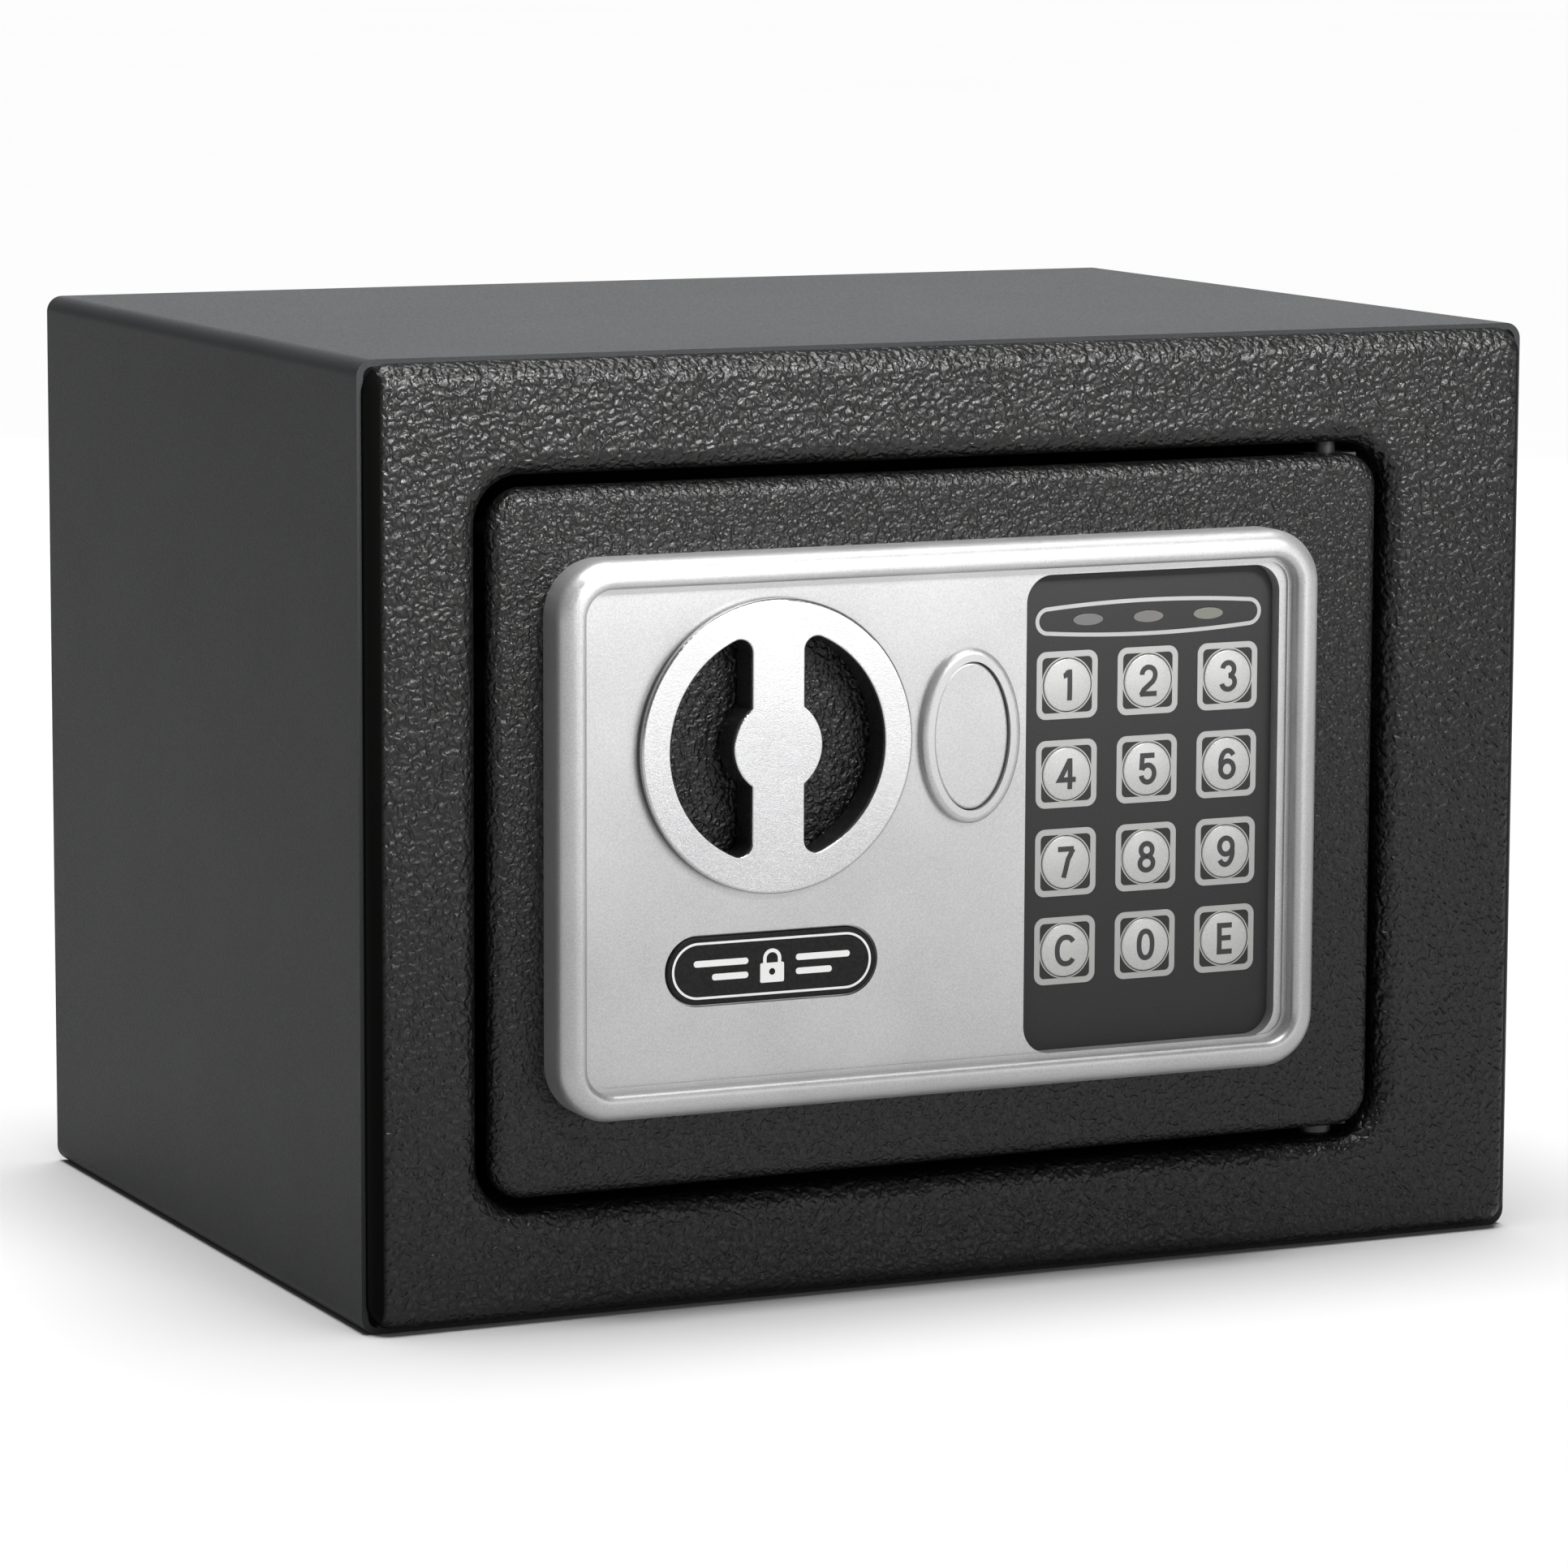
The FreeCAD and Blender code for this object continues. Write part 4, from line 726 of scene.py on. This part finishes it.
def key_figure(text, centre, front, controls):
    """The strokes of one figure, each a thin closed band that follows the cap's crown."""
    flat = controls.cap_radius - controls.cap_shoulder
    middle = np.array([centre[0], centre[2]])
    bands = []
    for path, closed in figure_strokes(text):
        edges = [edge + middle for edge in
                 stroke_edges(path * controls.figure_height, controls.figure_line, closed)]
        crown = [front + controls.cap_crown * ((edge - middle) ** 2).sum(axis=1) / flat ** 2
                 for edge in edges]
        lift, sink = 0.03 * MM, 0.02 * MM
        bands.append(strip([(edges[0], crown[0] + sink), (edges[0], crown[0] - lift),
                            (edges[1], crown[1] - lift), (edges[1], crown[1] + sink)], closed))
    return bands


def key_print(centre, controls, face):
    """Rounded square and ring printed round one key, the ring a hair prouder."""
    middle = np.array([centre[0], centre[2]])
    width = controls.frame_width
    clear = width - 2 * controls.frame_line
    outer = rounded_rectangle(middle, width, width, 1.9 * MM)
    inner = rounded_rectangle(middle, clear, clear, 0.9 * MM)
    square = band(outer, inner, face - controls.print_rise, face + PRINT_SINK)
    ring_in, ring_out = controls.cap_radius + 0.12 * MM, controls.cap_radius + 0.36 * MM
    ring = band(circle(middle, ring_out), circle(middle, ring_in),
                face - controls.print_rise * 1.3, face + PRINT_SINK)
    return [square, ring]


def lamp_outline(controls, face):
    """A light line round the three lamps, a little taller in the middle than at its ends."""
    low, high = box_of("status_lenses")
    middle = np.array([(low[0] + high[0]) / 2 + 0.15 * MM, (low[2] + high[2]) / 2])
    weight = 0.72 * MM
    half_length, half_end, half_middle = 22.9 * MM, 2.55 * MM, 3.4 * MM
    outer = bellied_stadium(middle, half_length, half_end, half_middle)
    inner = bellied_stadium(middle, half_length - weight, half_end - weight,
                             half_middle - weight)
    return band(outer, inner, face - controls.print_rise, face + PRINT_SINK)


# ------------------------------------------------------------------ badge
def badge_line(middle, width, height, front, back):
    """Thin line that follows the badge's outline, a little way in."""
    inset, weight = 1.05 * MM, 0.42 * MM
    outlines = []
    for step in (inset, inset + weight):
        w, h = width - 2 * step, height - 2 * step
        outlines.append(rounded_rectangle(middle, w, h, h / 2 - 0.01 * MM, steps=20))
    return band(*outlines, front, back)


def padlock(middle, front, back):
    """A block with a round keyhole, and a bow with short straight legs."""
    body_w, body_h = 4.6 * MM, 3.5 * MM
    body_at = middle - [0, 1.15 * MM]
    angle = np.linspace(0, 2 * np.pi, 64, endpoint=False)
    reach = 1 / np.maximum(abs(np.cos(angle)) / (body_w / 2), abs(np.sin(angle)) / (body_h / 2))
    block = np.stack([np.cos(angle), np.sin(angle)], -1) * reach[:, None] + body_at
    keyhole = circle(body_at + [0, 0.15 * MM], 0.6 * MM)

    bow, leg = body_at + [0, body_h / 2 - 0.05 * MM], 0.8 * MM
    turn = np.linspace(0, np.pi, 25)
    half_round = np.stack([np.cos(turn), np.sin(turn)], -1)
    sides = []
    for radius in (1.75 * MM, 1.1 * MM):
        round_top = half_round * radius + [0, leg]
        sides.append(np.vstack([[[radius, 0.0]], round_top, [[-radius, 0.0]]]) + bow)
    return [band(block, keyhole, front, back),
            band(*sides, front - 0.01 * MM, back, closed=False)]


def badge_bars(middle, front, back):
    """A long bar over a short one on each side of the padlock."""
    start, height = 4.6 * MM, 1.15 * MM
    bars = []
    for side in (-1, 1):
        for lift, length in ((1.25 * MM, 10.5 * MM), (-1.25 * MM, 7.0 * MM)):
            at = middle + [side * (start + length / 2), lift]
            outline = rounded_rectangle(at, length, height, 0.55 * MM, steps=6)
            bars.append(plate(outline, front, back))
    return bars


def badge_print(controls):
    """Inset line, a plain padlock in the middle and two bars on each side of it."""
    low, high = box_of("badge")
    centre, size = (low + high) / 2, high - low
    middle = np.array([centre[0], centre[2]])
    front, back = low[1] - controls.print_rise, low[1] + 0.03 * MM
    return [badge_line(middle, size[0], size[2], front, back),
            *padlock(middle, front, back), *badge_bars(middle, front, back)]


# ------------------------------------------------------------------ felt mat and springs
def mat_surface(low, high, thickness, across, holes):
    """Felt laid on the floor: z = low + thickness + a slow swell, with round holes cut out.

    The swell is the sum of three sine waves that cross, and it fades to nothing at the edge.
    Points within a cell of a hole's edge are drawn onto the circle.
    """
    cell = (high[0] - low[0]) / across
    along = int(round((high[1] - low[1]) / cell))
    x, y = np.meshgrid(np.linspace(low[0], high[0], across + 1),
                       np.linspace(low[1], high[1], along + 1), indexing="ij")
    swell = (np.sin(x * 61 + y * 23) + np.sin(y * 83 - x * 37 + 1.3)
             + np.sin(x * 140 + y * 91 + 2.1) * 0.4) * 0.07 * MM
    edge = np.minimum.reduce([x - low[0], high[0] - x, y - low[1], high[1] - y])
    z = low[2] + thickness + swell * np.clip(edge / (8 * MM), 0, 1)
    for centre, radius in holes:
        dx, dy = x - centre[0], y - centre[1]
        away = np.hypot(dx, dy)
        target = np.where(away > 0, radius / np.maximum(away, 1e-9), 1)
        near = abs(away - radius) < 0.75 * cell
        factor = np.where(near, target, 1.0)
        x, y = centre[0] + dx * factor, centre[1] + dy * factor
    points = np.stack([x, y, z], -1).reshape(-1, 3)
    faces = grid_faces(across + 1, along + 1, wrap_columns=False)
    middle = points[faces].mean(axis=1)
    keep = np.ones(len(faces), bool)
    for centre, radius in holes:
        keep &= np.hypot(middle[:, 0] - centre[0], middle[:, 1] - centre[1]) > radius * 0.97
    return points, faces[keep]


def coil_path(centre, low, high, wide, narrow, turns):
    """Conical helix about Z: the radius runs from wide to narrow while it climbs."""
    t = np.linspace(0, 1, int(turns * 28))
    settle = np.clip((t - 0.06) / 0.88, 0, 1)
    radius = wide + (narrow - wide) * settle
    angle = 2 * np.pi * turns * t
    return np.stack([centre[0] + radius * np.cos(angle), centre[1] + radius * np.sin(angle),
                     low + (high - low) * settle], -1)


def contact_parts():
    """For each cell a leaf at both ends: a conical spring at one, a raised pip at the other."""
    cells_low, cells_high = box_of("battery_cells")
    low, high = box_of("battery_contacts")
    cell_r = (cells_high[1] - cells_low[1]) / 2
    y = (cells_high[1] + cells_low[1]) / 2
    leaf, wire = 0.5 * MM, 0.32 * MM
    parts = []
    places = np.linspace(cells_high[0] - cell_r, cells_low[0] + cell_r, 4)
    for index, x in enumerate(places):
        for end, inward, face in ((low[2], 1, cells_low[2]), (high[2], -1, cells_high[2])):
            flat = leaf_plate(x, y, 9.6 * MM, end, end + inward * leaf)
            parts.append(flat)
            start = end + inward * (leaf + wire * 0.6)
            if (inward == 1) == (index % 2 == 0):
                stop = face - inward * wire * 1.1
                path = coil_path((x, y), start, stop, 3.5 * MM, 2.3 * MM, 3.2)
                parts.append(tube(path, wire))
            else:
                parts.append(pip(x, y, end + inward * leaf * 0.9, face, 2.2 * MM))
    return parts


def leaf_plate(x, y, width, z0, z1):
    """Square leaf with round corners, lying across Z."""
    points, faces = plate(rounded_rectangle((x, y), width, width, 1.2 * MM), z0, z1)
    return outward(points[:, [0, 2, 1]], faces)


def pip(x, y, base, tip, radius):
    """Low dome on a leaf: height (1 - (r / radius)^2) between base and tip."""
    reach = np.linspace(0, 1, 8)
    profile = np.stack([reach * radius, tip + (base - tip) * reach ** 2], -1)
    profile = np.vstack([profile, [[0.0, base]]])
    points, faces = turned(profile, np.zeros(3), steps=32)
    points = points[:, [0, 2, 1]] + [x, y, 0]
    return outward(points, faces)


# ------------------------------------------------------------------ operators
class SafeStep(bpy.types.Operator):
    """Common part of the building steps"""
    bl_options = {"REGISTER", "UNDO"}


class SAFE_OT_studio(SafeStep):
    """Camera, pale floor and soft lights"""
    bl_idname = "safe.studio"
    bl_label = "Studio"

    def execute(self, context):
        studio = context.scene.safe_studio
        place_camera(studio)
        place_floor(studio)
        place_lights(studio)
        return {"FINISHED"}


def place_camera(studio):
    """Looks along a direction turned to the right of +Y and tilted down, then rolled."""
    turn, pitch, roll = studio.azimuth, studio.pitch, studio.roll
    ahead = Vector((math.sin(turn) * math.cos(pitch), math.cos(turn) * math.cos(pitch),
                    -math.sin(pitch)))
    right = Vector((math.cos(turn), -math.sin(turn), 0.0))
    up = right.cross(ahead)
    rolled_right = right * math.cos(roll) + up * math.sin(roll)
    rolled_up = up * math.cos(roll) - right * math.sin(roll)
    axes = Matrix((rolled_right, rolled_up, -ahead)).transposed()
    data = bpy.data.cameras.new("studio_camera")
    data.lens = studio.lens
    data.sensor_width = 36.0
    data.clip_start = 0.01
    camera = bpy.data.objects.new("studio_camera", data)
    camera.matrix_world = Matrix.Translation(Vector(studio.place)) @ axes.to_4x4()
    bpy.context.collection.objects.link(camera)
    bpy.context.scene.camera = camera


def place_floor(studio):
    """A round floor far wider than the view."""
    points, faces = plate(circle((0.0, 0.0), 30.0, steps=96), 0.0, -0.01)
    points, faces = outward(points[:, [0, 2, 1]], faces)
    mesh = bpy.data.meshes.new("floor")
    mesh.from_pydata(points.tolist(), [], [f for part in faces for f in part.tolist()])
    mesh.materials.append(paper_floor("pale_floor", studio.floor))
    floor = bpy.data.objects.new("floor", mesh)
    bpy.context.collection.objects.link(floor)


def softbox(name, place, aim, width, height, power, spread):
    """A soft light that the camera doesn't see."""
    data = bpy.data.lights.new(name, "AREA")
    data.shape = "RECTANGLE"
    data.size, data.size_y = width, height
    data.energy = power
    data.spread = math.radians(spread)
    light = bpy.data.objects.new(name, data)
    light.location = place
    light.rotation_euler = (Vector(aim) - Vector(place)).to_track_quat("-Z", "Y").to_euler()
    light.visible_camera = False
    bpy.context.collection.objects.link(light)


def place_lights(studio):
    """Dim surroundings, soft light straight down, and boxes in front, above and behind."""
    scene = bpy.context.scene
    scene.view_settings.view_transform = "Standard"
    world = bpy.data.worlds.new("studio")
    scene.world = world
    world.use_nodes = True
    world.node_tree.nodes["Background"].inputs["Color"].default_value = (1, 1, 1, 1)
    world.node_tree.nodes["Background"].inputs["Strength"].default_value = studio.ambient
    data = bpy.data.lights.new("overhead", "SUN")
    data.energy, data.angle = studio.overhead, OVERHEAD_ANGLE
    bpy.context.collection.objects.link(bpy.data.objects.new("overhead", data))
    softbox("front_right", (0.243, -0.708, 0.18), (-0.041, -0.092, 0.18), 0.5, 0.3,
            studio.front_box, 70)
    softbox("above_front", (0.06, -0.44, 0.36), (-0.02, -0.085, 0.21), 0.4, 0.1,
            studio.top_box, 36)
    softbox("behind_right", (0.75, 1.25, 0.42), (0, 0, 0.17), 1.6, 0.5, studio.back_box, 180)


class SAFE_OT_shell(SafeStep):
    """Sand-textured coat of the body shell and back plate"""
    bl_idname = "safe.shell"
    bl_label = "Body shell"

    def execute(self, context):
        coats = context.scene.safe_coats
        coat(["cabinet_shell", "back_plate"],
             sand_coat("sand_coat", coats.shell, coats.shell_grain))
        return {"FINISHED"}


class SAFE_OT_front(SafeStep):
    """Grained coat of the front frame and the door leaf"""
    bl_idname = "safe.front"
    bl_label = "Frame and door"

    def execute(self, context):
        coats = context.scene.safe_coats
        half_width = box_of("front_frame")[1][0]
        # the frame's rolled side edges, SMOOTH_SHADED_EDGE wide, get painted shade: darkest base
        # colour and almost no specular
        coat(["front_frame"],
             grain_coat("frame_grain", coats.front, coats.frame_grain, coats.grain_depth,
                        half_width - SMOOTH_SHADED_EDGE))
        coat(["door_plate"],
             grain_coat("door_grain", coats.front, coats.door_grain,
                        coats.grain_depth * DOOR_RELIEF, half_width))
        return {"FINISHED"}


class SAFE_OT_inner_sheets(SafeStep):
    """Satin coat of the folded sheets inside"""
    bl_idname = "safe.inner_sheets"
    bl_label = "Inner sheets"

    def execute(self, context):
        coats = context.scene.safe_coats
        coat(["door_pan", "inner_cover", "strike_plate"],
             smooth_coat("inner_coat", coats.inner))
        return {"FINISHED"}


class SAFE_OT_face_plate(SafeStep):
    """Silver lacquer of the face plate and the oval cover"""
    bl_idname = "safe.face_plate"
    bl_label = "Face plate"

    def execute(self, context):
        controls = context.scene.safe_controls
        coat(["face_plate", "override_cover"],
             metallic_lacquer("panel_silver", controls.panel, 0.4, 0.3 * MM, 0.7))
        return {"FINISHED"}


class SAFE_OT_knob(SafeStep):
    """Bright face and black body of the knob"""
    bl_idname = "safe.knob"
    bl_label = "Knob"

    def execute(self, context):
        controls = context.scene.safe_controls
        coat(["knob_face"],
             metallic_lacquer("knob_silver", controls.knob, 0.22, 0.25 * MM, 0.95))
        coat(["knob_body"], moulded_plastic("knob_black", (0.012, 0.012, 0.012), 0.3))
        return {"FINISHED"}


class SAFE_OT_keypad(SafeStep):
    """Membrane with its printed frames, and the lamps"""
    bl_idname = "safe.keypad"
    bl_label = "Keypad film"

    def execute(self, context):
        controls = context.scene.safe_controls
        coat(["keypad_membrane"], membrane_film("charcoal_film", controls.film))
        low, high = box_of("status_lenses")
        coat(["status_lenses"], lamp_lens("smoky_lens", low[0], high[0]))
        coat(["status_leds"], moulded_plastic("lamp_resin", (0.5, 0.5, 0.46), 0.3))
        face = box_of("keypad_membrane")[0][1]
        ink = printed_ink("light_ink", controls.ink)
        frames = []
        for node in LEGENDS:
            frames += key_print(centre_of(node), controls, face)
        add_piece("key_frames", frames, "door", ink)
        add_piece("lamp_outline", [lamp_outline(controls, face)], "door", ink)
        return {"FINISHED"}


class SAFE_OT_keys(SafeStep):
    """Twelve domed key caps with their figures"""
    bl_idname = "safe.keys"
    bl_label = "Keys"

    def execute(self, context):
        controls = context.scene.safe_controls
        silver = metallic_lacquer("key_silver", controls.keys, 0.36, 0.22 * MM, 0.5)
        ink = printed_ink("legend_ink", controls.legend)
        for node, text in LEGENDS.items():
            low, high = box_of(node)
            centre = (low + high) / 2 * [1, 0, 1]
            cap = add_piece(node + "_cap", [turned(cap_profile(controls, low[1], high[1]), centre)],
                            node, silver, smooth_angle=math.radians(38))
            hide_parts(node)
            add_piece(node + "_figure", key_figure(text, centre, low[1], controls),
                      node, ink)
        return {"FINISHED"}


class SAFE_OT_badge(SafeStep):
    """Grained badge with a plain padlock sign"""
    bl_idname = "safe.badge"
    bl_label = "Badge"

    def execute(self, context):
        controls = context.scene.safe_controls
        coat(["badge"], badge_leather("badge_grain", (0.008, 0.008, 0.008)))
        ink = printed_ink("badge_ink", (0.8, 0.8, 0.79))
        add_piece("badge_print", badge_print(controls), "door", ink)
        return {"FINISHED"}


class SAFE_OT_hardware(SafeStep):
    """Plated, turned and moulded working parts"""
    bl_idname = "safe.hardware"
    bl_label = "Hardware"

    def execute(self, context):
        zinc = plated_steel("zinc_plate", (0.6, 0.6, 0.57), 0.34)
        coat(["cover_screws", "face_plate_screws", "guide_posts", "solenoid_frame",
              "spindle_clip", "crank", "bolt_carrier", "lock_nut"], zinc)
        bright = plated_steel("bright_plate", (0.8, 0.8, 0.8), 0.18, spangle=4 * MM)
        coat(["lower_bolt", "upper_bolt", "knob_spindle", "solenoid_plunger"], bright)
        coat(["lock_body", "lock_plug", "lock_cam"],
             turned_metal("lock_brass", (0.68, 0.52, 0.24), 0.3))
        coat(["knob_bush"], moulded_plastic("nylon", (0.78, 0.76, 0.7), 0.4, 0.8 * MM))
        coat(["hinge_brackets", "hinge_lugs", "hinge_pins", "hinge_washer"],
             moulded_plastic("hinge_black", (0.01, 0.01, 0.01), 0.4, 0.5 * MM))
        return {"FINISHED"}


class SAFE_OT_electronics(SafeStep):
    """Board, switch domes, buzzer, coil and the reset button"""
    bl_idname = "safe.electronics"
    bl_label = "Electronics"

    def execute(self, context):
        coat(["keypad_board"], circuit_board("solder_mask", (0.015, 0.11, 0.045)))
        coat(["switch_domes"], rubber_coat("dome_rubber", (0.3, 0.3, 0.31)))
        coat(["solenoid_coil"], copper_winding("copper_wire", (0.5, 0.2, 0.06)))
        coat(["buzzer", "reset_switch"], moulded_plastic("switch_black", (0.014, 0.014, 0.014)))
        coat(["reset_button"], moulded_plastic("button_red", (0.5, 0.012, 0.012), 0.25))
        return {"FINISHED"}


class SAFE_OT_batteries(SafeStep):
    """Battery box, cells and sprung contacts"""
    bl_idname = "safe.batteries"
    bl_label = "Batteries"

    def execute(self, context):
        coat(["battery_box", "battery_cover"],
             moulded_plastic("box_black", (0.016, 0.016, 0.016), 0.45, 0.5 * MM))
        low, high = box_of("battery_cells")
        coat(["battery_cells"], cell_wrap("cell_sleeve", low[2], high[2],
                                          (0.03, 0.12, 0.2), (0.7, 0.7, 0.68)))
        nickel = plated_steel("nickel_plate", (0.72, 0.7, 0.65), 0.22, spangle=5 * MM)
        springs = add_piece("contact_springs", contact_parts(), "door",
                            nickel, smooth_angle=math.radians(40))
        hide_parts("battery_contacts")
        return {"FINISHED"}


class SAFE_OT_floor_mat(SafeStep):
    """Loose felt mat over the anchor holes"""
    bl_idname = "safe.floor_mat"
    bl_label = "Floor mat"

    def execute(self, context):
        coats = context.scene.safe_coats
        low, high = box_of("floor_mat")
        anchor = next(m for m in frame["record"]["mounts"] if m["name"] == "base_anchor")
        half = anchor["dims"]["spacing_x_mm"] * MM / 2
        radius = anchor["dims"]["hole_r_mm"] * MM + MAT_HOLE_MARGIN
        holes = [((side * half, anchor["pos_m"][1]), radius) for side in (-1, 1)]
        points, faces = mat_surface(low, high, coats.mat_thickness, coats.mat_steps, holes)
        used, order = np.unique(faces, return_inverse=True)
        mesh = bpy.data.meshes.new("felt_mat")
        mesh.from_pydata(points[used].tolist(), [], order.reshape(faces.shape).tolist())
        mesh.shade_smooth()
        felt = felt_cloth("grey_felt", coats.felt)
        mat = place_mesh("felt_mat", mesh, "cabinet", felt)
        thick = mat.modifiers.new("thickness", "SOLIDIFY")
        thick.thickness = coats.mat_thickness - 0.1 * MM
        thick.offset = -1.0
        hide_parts("floor_mat")
        return {"FINISHED"}


class SAFE_PT_build(bpy.types.Panel):
    """Building steps of the safe"""
    bl_idname = "SAFE_PT_build"
    bl_label = "Keypad Safe"
    bl_space_type = "VIEW_3D"
    bl_region_type = "UI"
    bl_category = "Safe"

    def draw(self, context):
        layout = self.layout
        for group in (context.scene.safe_coats, context.scene.safe_controls,
                      context.scene.safe_studio):
            box = layout.box()
            for name in group.__annotations__:
                box.prop(group, name)
        for step in STEPS:
            layout.operator(step.bl_idname)


GROUPS = (SafeCoats, SafeControls, SafeStudio)
STEPS = (SAFE_OT_studio, SAFE_OT_shell, SAFE_OT_front, SAFE_OT_inner_sheets,
         SAFE_OT_face_plate, SAFE_OT_knob, SAFE_OT_keypad, SAFE_OT_keys, SAFE_OT_badge,
         SAFE_OT_hardware, SAFE_OT_electronics, SAFE_OT_batteries, SAFE_OT_floor_mat)


def register():
    for cls in GROUPS + STEPS + (SAFE_PT_build,):
        bpy.utils.register_class(cls)
    bpy.types.Scene.safe_coats = PointerProperty(type=SafeCoats)
    bpy.types.Scene.safe_controls = PointerProperty(type=SafeControls)
    bpy.types.Scene.safe_studio = PointerProperty(type=SafeStudio)


def unregister():
    del bpy.types.Scene.safe_studio
    del bpy.types.Scene.safe_controls
    del bpy.types.Scene.safe_coats
    for cls in reversed(GROUPS + STEPS + (SAFE_PT_build,)):
        bpy.utils.unregister_class(cls)


def main():
    register()
    for step in STEPS:
        area, name = step.bl_idname.split(".")
        getattr(getattr(bpy.ops, area), name)()
    bpy.context.view_layer.update()


if __name__ == "__main__":
    main()
